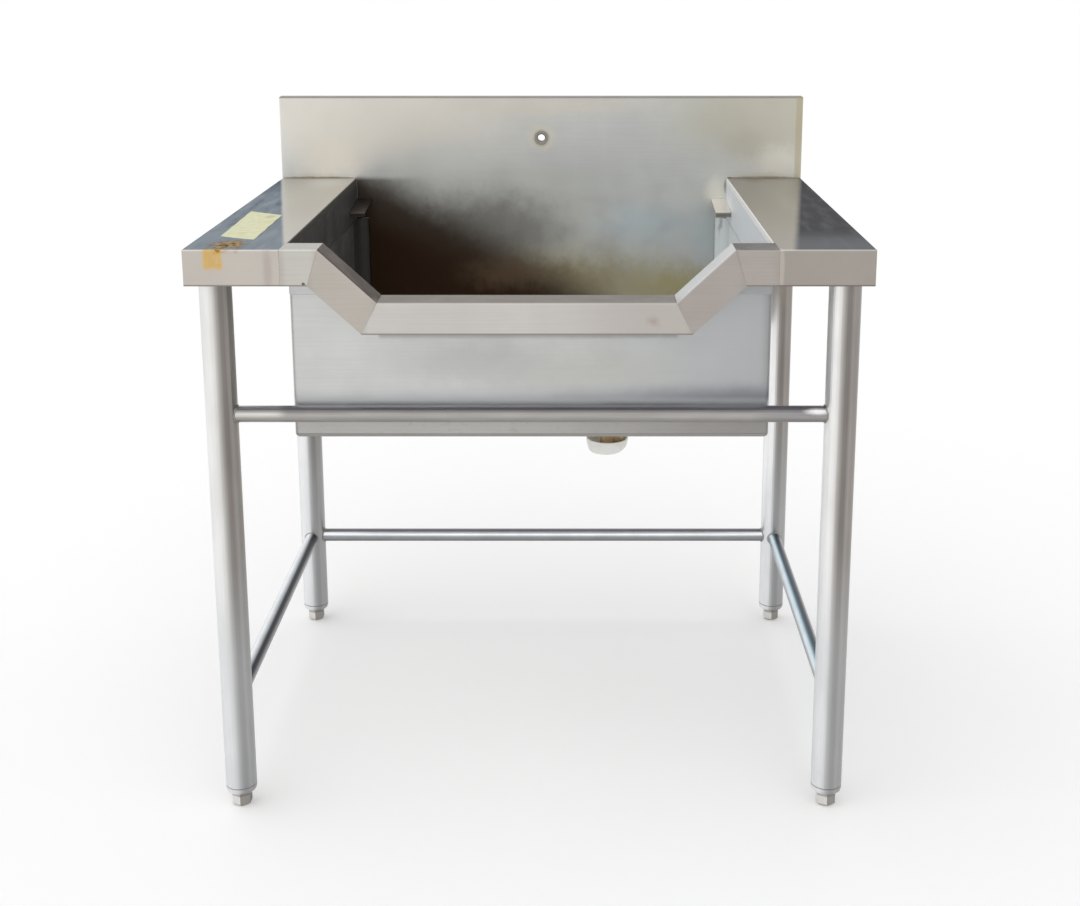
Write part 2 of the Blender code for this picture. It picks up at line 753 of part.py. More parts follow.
def make_rear_ledges(finish):
    """Two bent strips welded in the rear corners of the bowl, falling to the front."""
    back = SPLASH_FACE - LEDGE_END_GAP
    front = back - LEDGE_LENGTH
    path = [
        (back, SHELF_TOP - LEDGE_BACK_DROP),
        (front, SHELF_TOP - LEDGE_FRONT_DROP),
        (front, SHELF_TOP - LEDGE_FRONT_DROP - LEDGE_LIP),
    ]
    outline = sheet_outline(rounded_path(path, BEND_RADIUS), -LEDGE_SHEET)
    wall = HALF_BOWL - SEAM_GAP
    for side, name in ((-1, "rear_ledge_left"), (1, "rear_ledge_right")):
        low, high = sorted((side * wall, side * (wall - LEDGE_WIDTH)))
        add_object(name, prism(name, outline, "X", low, high, is_sheet=True), finish)


def make_channels(finish):
    """Top-hat channels that stiffen the wings from front to back."""
    inner = SEAM_X + CHANNEL_SIDE_CLEARANCE
    outer = LEG_X - PLATE_EDGE - CHANNEL_SIDE_CLEARANCE
    centre = (inner + outer) / 2
    half = (outer - inner) / 2 - CHANNEL_FLANGE
    path = [
        (-half - CHANNEL_FLANGE, 0.0),
        (-half, 0.0),
        (-half, -CHANNEL_DROP),
        (half, -CHANNEL_DROP),
        (half, 0.0),
        (half + CHANNEL_FLANGE, 0.0),
    ]
    outline = sheet_outline(rounded_path(path, BEND_RADIUS), CHANNEL_SHEET)
    front = FRONT + SHEET + CHANNEL_END_CLEARANCE
    back = SPLASH_FACE - CHANNEL_END_CLEARANCE
    for side, name in ((-1, "shelf_channel_left"), (1, "shelf_channel_right")):
        placed = [(x + side * centre, z + SHELF_UNDERSIDE) for x, z in outline]
        add_object(name, prism(name, placed, "Y", front, back, is_sheet=True), finish)


# Legs, rails and feet


def make_legs(finish, plate_finish):
    front_corner = (-PLATE_EDGE, -PLATE_EDGE)
    back_corner = (PLATE_EDGE, PLATE_BACK_EDGE)
    outline = rounded_rectangle(
        front_corner, back_corner, PLATE_CORNER, PLATE_CORNER, PLATE_CORNER_STEPS
    )
    leg_mesh = tube("leg", LEG_RADIUS, LEG_WALL, LEG_TOP - LEG_BOTTOM, LEG_SIDES)
    plate_mesh = prism("leg_plate", outline, "Z", 0.0, PLATE_THICKNESS)
    leg_mesh.materials.append(finish)
    plate_mesh.materials.append(plate_finish)
    for place, (x, y) in LEGS.items():
        add_object("leg_" + place, leg_mesh, None, (x, y, LEG_BOTTOM))
        plate_z = SHELF_UNDERSIDE - PLATE_THICKNESS
        add_object("leg_plate_" + place, plate_mesh, None, (x, y, plate_z))


def make_rail(name, start, end, finish):
    """A tube between two legs, its ends coped to fit round them."""
    across = start[1] == end[1]
    turn = (0, math.pi / 2, 0) if across else (-math.pi / 2, 0, 0)
    length = math.dist(start, end)
    rail = add_object(name, tube(name, RAIL_RADIUS, RAIL_WALL, length, RAIL_SIDES), finish, start, turn)
    reach = LEG_RADIUS
    for end_name, (x, y, z) in (("start", start), ("end", end)):
        mesh = cylinder(name, LEG_RADIUS + SEAM_GAP, z - reach, z + reach, LEG_SIDES)
        boolean(rail, cutter(name + "_cope_" + end_name, mesh, (x, y, 0.0)))


def make_rails(finish):
    lower = LOWER_RAIL_HEIGHT
    make_rail(
        "front_rail",
        (-LEG_X, LEG_FRONT_Y, FRONT_RAIL_HEIGHT),
        (LEG_X, LEG_FRONT_Y, FRONT_RAIL_HEIGHT),
        finish,
    )
    make_rail("back_rail", (-LEG_X, LEG_BACK_Y, lower), (LEG_X, LEG_BACK_Y, lower), finish)
    for side, name in ((-1, "side_rail_left"), (1, "side_rail_right")):
        x = side * LEG_X
        make_rail(name, (x, LEG_FRONT_Y, lower), (x, LEG_BACK_Y, lower), finish)


def make_feet(insert_finish, stem_finish, pad_finish):
    """For each leg: a collar pressed into the tube, a threaded stem and a hexagonal pad."""
    bore = STEM_RADIUS + THREAD_CLEARANCE
    plug = LEG_RADIUS - LEG_WALL - INSERT_FIT
    rounding_centre = (LEG_RADIUS - INSERT_ROUNDING, INSERT_ROUNDING)
    rounding = arc(rounding_centre, INSERT_ROUNDING, -math.pi / 2, 0.0, INSERT_ROUNDING_STEPS)
    insert_profile = [(INSERT_FACE_RADIUS, 0.0)] + rounding[1:]
    insert_profile += [
        (LEG_RADIUS, INSERT_COLLAR_HEIGHT),
        (plug, INSERT_COLLAR_HEIGHT),
        (plug, INSERT_COLLAR_HEIGHT + INSERT_PLUG_LENGTH),
        (bore, INSERT_COLLAR_HEIGHT + INSERT_PLUG_LENGTH),
        (bore, 0.0),
    ]
    insert_mesh = turned("foot_insert", insert_profile, LEG_SIDES)
    stem_mesh = cylinder("foot_stem", STEM_RADIUS, 0.0, STEM_LENGTH, STEM_SIDES)
    pad_mesh = bridged(
        "foot_pad",
        [
            hexagon(PAD_ACROSS_FLATS - 2 * PAD_LOWER_EDGE, 0.0, STEM_SIDES),
            hexagon(PAD_ACROSS_FLATS, PAD_LOWER_EDGE, STEM_SIDES),
            hexagon(PAD_ACROSS_FLATS, PAD_HEIGHT - PAD_UPPER_EDGE, STEM_SIDES),
            hexagon(PAD_ACROSS_FLATS - 2 * PAD_UPPER_EDGE, PAD_HEIGHT, STEM_SIDES),
            circle(bore, PAD_HEIGHT, STEM_SIDES),
            circle(bore, PAD_HEIGHT - STEM_SOCKET_DEPTH, STEM_SIDES),
        ],
    )
    insert_mesh.materials.append(insert_finish)
    stem_mesh.materials.append(stem_finish)
    pad_mesh.materials.append(pad_finish)
    stem_bottom = PAD_HEIGHT - STEM_SOCKET_DEPTH + SEAM_GAP
    for place, (x, y) in LEGS.items():
        add_object("foot_insert_" + place, insert_mesh, None, (x, y, INSERT_COLLAR_BOTTOM))
        add_object("foot_stem_" + place, stem_mesh, None, (x, y, stem_bottom))
        add_object("foot_pad_" + place, pad_mesh, None, (x, y, 0.0))


# Tap socket and drain


def make_tap_socket(finish):
    """A short sleeve through the backsplash, with a countersunk mouth."""
    length = TAP_SOCKET_PROUD + SPLASH_DEPTH - TAP_SOCKET_BACK_RECESS
    profile = [
        (TAP_SOCKET_RADIUS, 0.0),
        (TAP_SOCKET_RADIUS, length),
        (TAP_BORE_RADIUS, length),
        (TAP_BORE_RADIUS, TAP_CHAMFER),
        (TAP_BORE_RADIUS + TAP_CHAMFER, 0.0),
    ]
    mesh = turned("tap_socket", profile, ROUND_SIDES)
    place = (0.0, SPLASH_FACE - TAP_SOCKET_PROUD, TAP_HEIGHT)
    add_object("tap_socket", mesh, finish, place, (-math.pi / 2, 0, 0))


def at_drain(name, mesh, finish):
    return add_object(name, mesh, finish, (DRAIN_X, DRAIN_Y, 0.0))


def make_waste(steel, rubber, brass):
    """The flanged cup in the floor, its seals, its clamping ring, and the tail with its nut."""
    outer = WASTE_OUTER_RADIUS
    inner = WASTE_CUP_RADIUS
    seat = WASTE_INNER_RADIUS
    floor_bottom = CUP_FLOOR - WASTE_WALL
    profile = [
        (WASTE_FLANGE_RADIUS, FLANGE_BOTTOM),
        (WASTE_FLANGE_RADIUS, FLANGE_TOP),
        (inner, FLANGE_TOP),
        (inner, STRAINER_SEAT),
        (seat, STRAINER_SEAT),
        (seat, CUP_FLOOR),
        (TAIL_HOLE_RADIUS, CUP_FLOOR),
        (TAIL_HOLE_RADIUS, floor_bottom),
        (seat + WASTE_WALL, floor_bottom),
        (seat + WASTE_WALL, STRAINER_SEAT - WASTE_WALL),
        (outer, STRAINER_SEAT - WASTE_WALL),
        (outer, FLANGE_BOTTOM),
    ]
    at_drain("waste_body", turned("waste_body", profile, ROUND_SIDES), steel)

    seal_outer = WASTE_FLANGE_RADIUS - SEAL_MARGIN
    seal = [
        (seal_outer, SEAL_BOTTOM),
        (seal_outer, SEAL_TOP),
        (WASTE_HOLE_RADIUS, SEAL_TOP),
        (WASTE_HOLE_RADIUS, SEAL_BOTTOM),
    ]
    at_drain("waste_seal", turned("waste_seal", seal, ROUND_SIDES), rubber)

    ring_top = RECESS_FLOOR - SHEET - SEAM_GAP
    ring_inner = outer + SEAM_GAP
    ring = [
        (ring_inner + CLAMP_RING_WIDTH, ring_top - CLAMP_RING_HEIGHT),
        (ring_inner + CLAMP_RING_WIDTH, ring_top),
        (ring_inner, ring_top),
        (ring_inner, ring_top - CLAMP_RING_HEIGHT),
    ]
    at_drain("waste_clamp_ring", turned("waste_clamp_ring", ring, ROUND_SIDES), steel)

    tail_inner = TAIL_RADIUS - TAIL_WALL
    flange_low = CUP_FLOOR + SEAM_GAP
    tail = [
        (TAIL_RADIUS, TAIL_BOTTOM),
        (TAIL_RADIUS, flange_low),
        (TAIL_FLANGE_RADIUS, flange_low),
        (TAIL_FLANGE_RADIUS, flange_low + TAIL_FLANGE_THICKNESS),
        (tail_inner, flange_low + TAIL_FLANGE_THICKNESS),
        (tail_inner, TAIL_BOTTOM),
    ]
    at_drain("brass_tail", turned("brass_tail", tail, ROUND_SIDES), brass)

    gasket_top = floor_bottom - SEAM_GAP
    gasket_bottom = gasket_top - GASKET_THICKNESS
    gasket = [
        (TAIL_HOLE_RADIUS + GASKET_WIDTH, gasket_bottom),
        (TAIL_HOLE_RADIUS + GASKET_WIDTH, gasket_top),
        (TAIL_HOLE_RADIUS, gasket_top),
        (TAIL_HOLE_RADIUS, gasket_bottom),
    ]
    at_drain("tail_gasket", turned("tail_gasket", gasket, ROUND_SIDES), rubber)

    nut_top = gasket_bottom - SEAM_GAP
    nut_bottom = nut_top - BACK_NUT_HEIGHT
    across_flats = 2 * (TAIL_HOLE_RADIUS + BACK_NUT_WALL)
    nut = [
        hexagon(across_flats, nut_bottom, ROUND_SIDES),
        hexagon(across_flats, nut_top, ROUND_SIDES),
        circle(TAIL_HOLE_RADIUS, nut_top, ROUND_SIDES),
        circle(TAIL_HOLE_RADIUS, nut_bottom, ROUND_SIDES),
    ]
    at_drain("back_nut", bridged("back_nut", nut, closed=True), brass)


def make_strainer(finish):
    """A lift-out dish with two rings of holes and a knob to lift it by."""
    rim_radius = WASTE_CUP_RADIUS - STRAINER_FIT
    wall_radius = WASTE_INNER_RADIUS - STRAINER_FIT
    floor_radius = wall_radius - STRAINER_TAPER
    rim_low = STRAINER_SEAT + SEAM_GAP
    rim_high = rim_low + STRAINER_SHEET
    floor_low = rim_low - STRAINER_DEPTH
    floor_high = floor_low + STRAINER_SHEET
    profile = [
        (floor_radius, floor_low),
        (wall_radius, rim_low),
        (rim_radius, rim_low),
        (rim_radius, rim_high),
        (wall_radius - STRAINER_SHEET, rim_high),
        (floor_radius - STRAINER_SHEET, floor_high),
        (KNOB_STEM_RADIUS, floor_high),
        (KNOB_STEM_RADIUS, rim_high - KNOB_HEIGHT / 2),
        (KNOB_RADIUS, rim_high),
        (KNOB_TOP_RADIUS, rim_high + KNOB_HEIGHT / 2),
    ]
    strainer = at_drain("strainer", turned("strainer", profile, ROUND_SIDES, closed=False), finish)
    low = floor_low - STRAINER_SHEET
    high = floor_high + STRAINER_SHEET
    drill = bmesh.new()
    for count, ring_radius in HOLE_RINGS:
        for index in range(count):
            angle = 2 * math.pi * index / count
            centre = (ring_radius * math.cos(angle), ring_radius * math.sin(angle))
            rings = [circle(HOLE_RADIUS, height, HOLE_SIDES, centre) for height in (low, high)]
            cap_ends(drill, join_rings(drill, rings))
    drill_mesh = finish_mesh("strainer_drill", drill)
    boolean(strainer, cutter("strainer_hole_cutter", drill_mesh, (DRAIN_X, DRAIN_Y, 0.0)))


def make_outlet_cup(finish):
    """The white cup under the tail: an open bowl, a sleeve that holds the tail, and a spigot behind."""
    place = (DRAIN_X, DRAIN_Y, 0.0)
    spigot_place = (DRAIN_X, DRAIN_Y, TAIL_BOTTOM - SPIGOT_BELOW_TAIL_END)
    spigot_turn = (-math.pi / 2 - SPIGOT_FALL, 0, 0)
    above = CUP_RIM_HEIGHT + CUP_WALL

    def cup_rings(inset, bottom):
        rings = []
        for step in range(CUP_ROUNDING_STEPS + 1):
            angle = math.pi / 2 * step / CUP_ROUNDING_STEPS
            share = math.sin(angle)
            z = bottom + (CUP_RIM_HEIGHT - bottom) * (1 - math.cos(angle))
            shift = CUP_FOOT_SHIFT + (CUP_RIM_SHIFT - CUP_FOOT_SHIFT) * share
            radius = CUP_FOOT_RADIUS + (CUP_RIM_RADIUS - CUP_FOOT_RADIUS) * share - inset
            rings.append(circle(radius, z, ROUND_SIDES, (shift, 0.0)))
        return rings

    cup = at_drain("outlet_cup", bridged("outlet_cup", cup_rings(0.0, CUP_BOTTOM_HEIGHT)), finish)
    spigot = cylinder("cup_spigot", SPIGOT_RADIUS, 0.0, SPIGOT_LENGTH, STEM_SIDES)
    boolean(cup, cutter("cup_spigot_joiner", spigot, spigot_place, spigot_turn), "UNION")

    hollow_rings = cup_rings(CUP_WALL, CUP_BOTTOM_HEIGHT + CUP_WALL)
    top = [(x, y, above) for x, y, _ in hollow_rings[-1]]
    hollow = cutter("cup_hollow_cutter", bridged("cup_hollow", hollow_rings + [top]), place)
    sleeve = cylinder("cup_sleeve", SLEEVE_RADIUS, 0.0, SLEEVE_TOP, ROUND_SIDES)
    boolean(hollow, cutter("cup_sleeve_keeper", sleeve, place))
    boolean(cup, hollow)

    socket = cylinder("cup_socket", TAIL_HOLE_RADIUS, TAIL_BOTTOM - SEAM_GAP, above, ROUND_SIDES)
    boolean(cup, cutter("cup_socket_cutter", socket, place))
    bore_radius = TAIL_RADIUS - TAIL_WALL
    bore_floor = CUP_BOTTOM_HEIGHT + CUP_WALL
    bore = cylinder("cup_bore", bore_radius, bore_floor, SLEEVE_TOP, ROUND_SIDES)
    boolean(cup, cutter("cup_bore_cutter", bore, place))
    way_out = cylinder(
        "cup_way_out", SPIGOT_RADIUS - SPIGOT_WALL, 0.0, SPIGOT_LENGTH + CUP_WALL, STEM_SIDES
    )
    boolean(cup, cutter("cup_way_out_cutter", way_out, spigot_place, spigot_turn))


def main():
    clear_scene()
    sheet = material("brushed_sheet", (0.62, 0.62, 0.60), 0.32, 1.0)
    tube_steel = material("polished_tube", (0.66, 0.66, 0.66), 0.25, 1.0)
    hidden_steel = material("plain_steel", (0.50, 0.50, 0.50), 0.45, 1.0)
    brass = material("brass", (0.55, 0.38, 0.18), 0.40, 1.0)
    plastic = material("white_plastic", (0.85, 0.85, 0.82), 0.45, 0.0)
    rubber = material("black_rubber", (0.03, 0.03, 0.03), 0.80, 0.0)

    make_back_panel(sheet)
    make_bowl_walls(sheet)
    make_bowl_floor(sheet)
    make_shelf(-1, "left_shelf", sheet)
    make_shelf(1, "right_shelf", sheet)
    make_front_rim(sheet)
    make_rear_ledges(sheet)
    make_channels(hidden_steel)
    make_legs(tube_steel, hidden_steel)
    make_rails(tube_steel)
    make_feet(tube_steel, hidden_steel, tube_steel)
    make_tap_socket(tube_steel)
    make_waste(hidden_steel, rubber, brass)
    make_strainer(tube_steel)
    make_outlet_cup(plastic)


main()
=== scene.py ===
import math
from functools import partial

import bmesh
import bpy
from bpy.props import FloatProperty, FloatVectorProperty, PointerProperty
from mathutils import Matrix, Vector


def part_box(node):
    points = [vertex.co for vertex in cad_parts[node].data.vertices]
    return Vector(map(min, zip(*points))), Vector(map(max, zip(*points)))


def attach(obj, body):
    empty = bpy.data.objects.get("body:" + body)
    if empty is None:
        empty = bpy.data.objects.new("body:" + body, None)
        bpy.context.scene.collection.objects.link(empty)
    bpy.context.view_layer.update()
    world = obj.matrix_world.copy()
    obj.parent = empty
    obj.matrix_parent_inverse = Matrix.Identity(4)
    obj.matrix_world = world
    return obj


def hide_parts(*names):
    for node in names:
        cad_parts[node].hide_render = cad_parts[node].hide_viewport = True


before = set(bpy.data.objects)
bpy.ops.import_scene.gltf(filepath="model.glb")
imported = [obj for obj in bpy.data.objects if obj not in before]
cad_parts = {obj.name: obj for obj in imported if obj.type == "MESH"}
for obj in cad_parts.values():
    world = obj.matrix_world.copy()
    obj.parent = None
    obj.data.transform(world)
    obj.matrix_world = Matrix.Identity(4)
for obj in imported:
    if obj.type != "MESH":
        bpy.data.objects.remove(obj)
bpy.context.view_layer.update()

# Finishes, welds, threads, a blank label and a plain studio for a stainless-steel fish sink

bl_info = {
    "name": "Fish sink finishes",
    "version": (1, 0, 0),
    "blender": (4, 5, 0),
    "location": "3D View > Sidebar > Fish Sink",
    "description": "Gives a steel fish sink its finishes, welds, threads, label and studio",
    "category": "Object",
}

PLACES = ("front_left", "front_right", "back_left", "back_right")
SMOOTH = {"interpolation_type": "SMOOTHSTEP"}

UP, DOWN = (0, 0, 1), (0, 0, -1)
LEFT, RIGHT = (-1, 0, 0), (1, 0, 0)
AHEAD, BACK = (0, -1, 0), (0, 1, 0)

# Sizes of the sink that the boxes of its solids don't give
SHEET = 0.0012
WING_END = 0.497
SUPPORT_SHEET = 0.0015
SUPPORT_LIP = 0.008
REAR_SEAM = 0.3349
REAR_CORNER = 0.022
TAIL_RADIUS = 0.021
TAIL_BORE = 0.0175
TAIL_FLANGE = 0.002
TAP_BORE_RADIUS = 0.0075

# Places on the sink, from its carried-over solids
SHELF_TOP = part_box("left_shelf")[1].z
SPLASH_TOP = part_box("back_panel")[1].z
SPLASH_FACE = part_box("left_shelf")[1].y
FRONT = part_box("front_rim_centre")[0].y
APRON_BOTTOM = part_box("left_shelf")[0].z
BOWL_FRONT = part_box("bowl_wrap")[0].y
BOWL_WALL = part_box("collar_right")[1].x - SHEET

# How finely the small pieces are drawn
BEAD_SIDES = 8
RING_WELD_STEPS = 72
SEAM_WELD_STEPS = 60
THREAD_SIDES = 28
THREAD_ROWS_PER_TURN = 4
TAP_THREAD_STEPS = 24
FILLER_STEPS = 8
LABEL_COLUMNS = 10
LABEL_ROWS = 36


def linear(colour):
    """An sRGB hex colour as linear red, green, blue and alpha; a linear one stays as it is."""
    if not isinstance(colour, str):
        return colour
    channels = []
    for index in (0, 2, 4):
        value = int(colour[index : index + 2], 16) / 255
        channels.append(value / 12.92 if value <= 0.04045 else ((value + 0.055) / 1.055) ** 2.4)
    return (*channels, 1.0)


def box_middle(name):
    """The middle of a carried-over node's box, and how far the box reaches from there."""
    low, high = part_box(name)
    return (low + high) / 2, (high - low) / 2


# Sizes and colours that a user may change


def surface(name, description, default):
    """A colour to pick, from its sRGB hex default."""
    return FloatVectorProperty(
        name=name,
        description=description,
        default=linear(default)[:3],
        min=0.0,
        max=1.0,
        subtype="COLOR",
    )


def length(name, description, default, least, most):
    """A length to set, in metres."""
    return FloatProperty(
        name=name, description=description, default=default, min=least, max=most, unit="LENGTH"
    )


def brightness(name, description, default, most):
    """A strength of light to set."""
    return FloatProperty(name=name, description=description, default=default, min=0.0, max=most)


class FishSinkColours(bpy.types.PropertyGroup):
    sheet: surface("Brushed sheet", "Colour of the clean brushed stainless sheet", "C8C9C6")
    tube: surface("Satin tube", "Colour of the satin-polished stainless tube", "DEDEDD")
    label: surface("Paper label", "Colour of the blank paper label", "DADAB6")
    floor: surface("Floor", "Colour of the studio floor", "F7F7F7")


class FishSinkSizes(bpy.types.PropertyGroup):
    weld_radius: length(
        "Weld bead radius",
        "Radius of the weld beads where rails meet legs",
        0.0016,
        0.0005,
        0.004,
    )
    seam_radius: length(
        "Seam weld radius", "Radius of the fine beads along sheet joints", 0.0009, 0.0003, 0.003
    )
    foot_pitch: length(
        "Foot thread pitch", "Pitch of the thread on the screw feet", 0.00175, 0.001, 0.003
    )
    pipe_pitch: length(
        "Pipe thread pitch", "Pitch of the pipe thread on the brass tail", 0.00231, 0.001, 0.004
    )
    tap_pitch: length(
        "Tap thread pitch", "Pitch of the pipe thread in the tap socket", 0.00181, 0.001, 0.003
    )
    label_thickness: length(
        "Label thickness", "Thickness of the paper label", 0.00015, 0.00005, 0.001
    )


class FishSinkStudio(bpy.types.PropertyGroup):
    key: brightness("Key light", "Strength of the soft key light from the front left", 0.95, 5.0)
    floor_glow: brightness(
        "Floor glow", "How much the floor is lifted towards white where it is seen", 0.13, 1.0
    )
    world: brightness("World light", "Strength of the even light from all sides", 0.72, 2.0)


class FishSinkSettings(bpy.types.PropertyGroup):
    colours: PointerProperty(type=FishSinkColours)
    sizes: PointerProperty(type=FishSinkSizes)
    studio: PointerProperty(type=FishSinkStudio)


# Finishes


def add_node(tree, kind, settings=None, sockets=None, output=0):
    """Adds a node with its settings and links, and gives back one of its outputs."""
    made = tree.nodes.new(kind)
    for name, value in (settings or {}).items():
        setattr(made, name, value)
    for socket, value in (sockets or {}).items():
        if isinstance(value, bpy.types.NodeSocket):
            tree.links.new(value, made.inputs[socket])
        else:
            made.inputs[socket].default_value = value
    return made.outputs[output]


class Finish:
    """A material in the making: a base colour that marks are laid on, one after another."""

    def __init__(self, name, colour, metallic, roughness):
        self.made = bpy.data.materials.new(name)
        self.made.use_nodes = True
        self.tree = self.made.node_tree
        self.add = partial(add_node, self.tree)
        self.shader = self.tree.nodes["Principled BSDF"]
        self.place = self.add("ShaderNodeTexCoord", output="Object")
        self.normal = self.add("ShaderNodeTexCoord", output="Normal")
        self.colour = linear(colour)
        self.metallic = metallic
        self.roughness = roughness
        self.reliefs = []
        wander = {"Vector": self.place, "Scale": 34.0, "Detail": 6.0, "Roughness": 0.7}
        self.wander = self.add("ShaderNodeTexNoise", None, wander, "Color")

    def step(self, value, low, high, start=0.0, end=1.0):
        """The settings of a soft step from low to high."""
        return {"Value": value, "From Min": low, "From Max": high, "To Min": start, "To Max": end}

    def ragged(self, amount):
        """The place, pushed about so that the edge of a mark isn't ruled."""
        if not amount:
            return self.place
        sockets = {0: self.wander, 1: (amount,) * 3, 2: (-amount / 2,) * 3}
        push = self.add("ShaderNodeVectorMath", {"operation": "MULTIPLY_ADD"}, sockets)
        return self.add("ShaderNodeVectorMath", None, {0: self.place, 1: push})

    def patch(self, centre, size, core=0.3, ragged=0.02):
        """A soft oval round a centre: 1 within its core and 0 at its edge."""
        away = {0: self.ragged(ragged), 1: centre}
        away = self.add("ShaderNodeVectorMath", {"operation": "SUBTRACT"}, away)
        away = self.add("ShaderNodeVectorMath", {"operation": "DIVIDE"}, {0: away, 1: size})
        away = self.add("ShaderNodeVectorMath", {"operation": "LENGTH"}, {0: away}, "Value")
        return self.add("ShaderNodeMapRange", SMOOTH, self.step(away, core, 1.0, 1.0, 0.0))

    def beyond(self, point, direction, width, ragged=0.02):
        """0 before a plane and 1 past it, with a soft border.

        The plane goes through a point, or through a place on the direction's own axis.
        """
        point = Vector(point if isinstance(point, tuple) else (point,) * 3)
        along = Vector(direction).normalized()
        place = {0: self.ragged(ragged), 1: tuple(along)}
        reach = self.add("ShaderNodeVectorMath", {"operation": "DOT_PRODUCT"}, place, "Value")
        middle = point.dot(along)
        step = self.step(reach, middle - width / 2, middle + width / 2)
        return self.add("ShaderNodeMapRange", SMOOTH, step)

    def facing(self, direction, low=0.5, high=0.8):
        """1 where the surface faces a direction."""
        way = {0: self.normal, 1: tuple(Vector(direction).normalized())}
        facing = self.add("ShaderNodeVectorMath", {"operation": "DOT_PRODUCT"}, way, "Value")
        return self.add("ShaderNodeMapRange", SMOOTH, self.step(facing, low, high))

    def grain(self, per_metre, detail=3.0, roughness=0.5):
        """A pattern with so many grains to the metre, one number for each axis or one for all."""
        if isinstance(per_metre, float):
            per_metre = (per_metre,) * 3
        place = {0: self.place, 1: per_metre}
        place = self.add("ShaderNodeVectorMath", {"operation": "MULTIPLY"}, place)
        sockets = {"Vector": place, "Scale": 1.0, "Detail": detail, "Roughness": roughness}
        return self.add("ShaderNodeTexNoise", None, sockets)

    def spots(self, per_metre, low, high, detail=3.0):
        """Scattered spots: 1 where a grain is past high and 0 where it is short of low."""
        step = self.step(self.grain(per_metre, detail), low, high)
        return self.add("ShaderNodeMapRange", SMOOTH, step)

    def lay(self, masks, colour, strength=1.0, dull=0.0, rough=0.0):
        """Lays a mark where all its masks meet.

        Dull takes the metal's shine away, and rough its gloss.
        """
        mask, *others = masks if isinstance(masks, tuple) else (masks,)
        for other in others:
            mask = self.add("ShaderNodeMath", {"operation": "MULTIPLY"}, {0: mask, 1: other})
        share = self.add("ShaderNodeMath", {"operation": "MULTIPLY"}, {0: mask, 1: strength})
        blend = {0: share, 6: self.colour, 7: linear(colour)}
        self.colour = self.add("ShaderNodeMix", {"data_type": "RGBA"}, blend, 2)
        change = {"operation": "MULTIPLY_ADD", "use_clamp": True}
        if dull:
            sockets = {0: mask, 1: -dull, 2: self.metallic}
            self.metallic = self.add("ShaderNodeMath", change, sockets)
        if rough:
            sockets = {0: mask, 1: rough, 2: self.roughness}
            self.roughness = self.add("ShaderNodeMath", change, sockets)

    def marks(self, face, depth, rows, *masks):
        """Lays soft ovals on an upright sheet, where they meet any further masks.

        Each row holds the place across and up, the reach across and up, the core, the raggedness
        and what lay takes after its masks.
        """
        for x, z, wide, high, core, ragged, *look in rows:
            oval = self.patch((x, face, z), (wide, depth, high), core, ragged)
            self.lay((oval, *masks), *look)

    def front_fold(self, least, level):
        """The bend from a sheet's top to its front."""
        return self.facing((0, -0.7, 0.7), least, 0.97), self.facing(UP, level, level + 0.2)

    def lower_edge(self, bottom, colour, dull):
        """Darkens the cut edge along a sheet's bottom."""
        self.lay(self.beyond(bottom + 0.002, DOWN, 0.002, 0.0), colour, 0.8, dull)

    def cloud(self, pattern, amount):
        """Darkens and lightens the colour with a pattern."""
        step = self.step(pattern, 0.3, 0.7, 1.0 - amount, 1.0 + amount)
        share = self.add("ShaderNodeMapRange", SMOOTH, step)
        grey = self.add("ShaderNodeCombineColor", None, {0: share, 1: share, 2: share})
        settings = {"data_type": "RGBA", "blend_type": "MULTIPLY"}
        self.colour = self.add("ShaderNodeMix", settings, {0: 1.0, 6: self.colour, 7: grey}, 2)

    def round_shade(self, middle, radius, across, stops, slide=0.0):
        """A colour that runs over a tube from side to side, for its painted bands.

        Each stop holds a share of the way and a colour.
        """
        across = Vector(across).normalized()
        place = {0: self.place, 1: tuple(across)}
        reach = self.add("ShaderNodeVectorMath", {"operation": "DOT_PRODUCT"}, place, "Value")
        centre = Vector(middle).dot(across)
        step = self.step(reach, centre - radius, centre + radius, slide, 1.0 + slide)
        share = self.add("ShaderNodeMapRange", None, step)
        shade = self.add("ShaderNodeValToRGB", None, {"Fac": share})
        elements = shade.node.color_ramp.elements
        for index, (position, colour) in enumerate(stops):
            element = elements[index] if index < 2 else elements.new(position)
            element.position = position
            element.color = linear(colour)
        return shade

    def finish(self, *names):
        """Links what was laid to the shader, and puts the material on the carried-over nodes."""
        bumps = None
        for height, distance in self.reliefs:
            sockets = {"Height": height, "Distance": distance}
            if bumps is not None:
                sockets["Normal"] = bumps
            bumps = self.add("ShaderNodeBump", None, sockets)
        for name, value in (
            ("Base Color", self.colour),
            ("Metallic", self.metallic),
            ("Roughness", self.roughness),
            ("Normal", bumps),
        ):
            if isinstance(value, bpy.types.NodeSocket):
                self.tree.links.new(value, self.shader.inputs[name])
            elif value is not None:
                self.shader.inputs[name].default_value = value
        for name in names:
            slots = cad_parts[name].data.materials
            slots.clear()
            slots.append(self.made)
        return self.made


# Stainless sheet


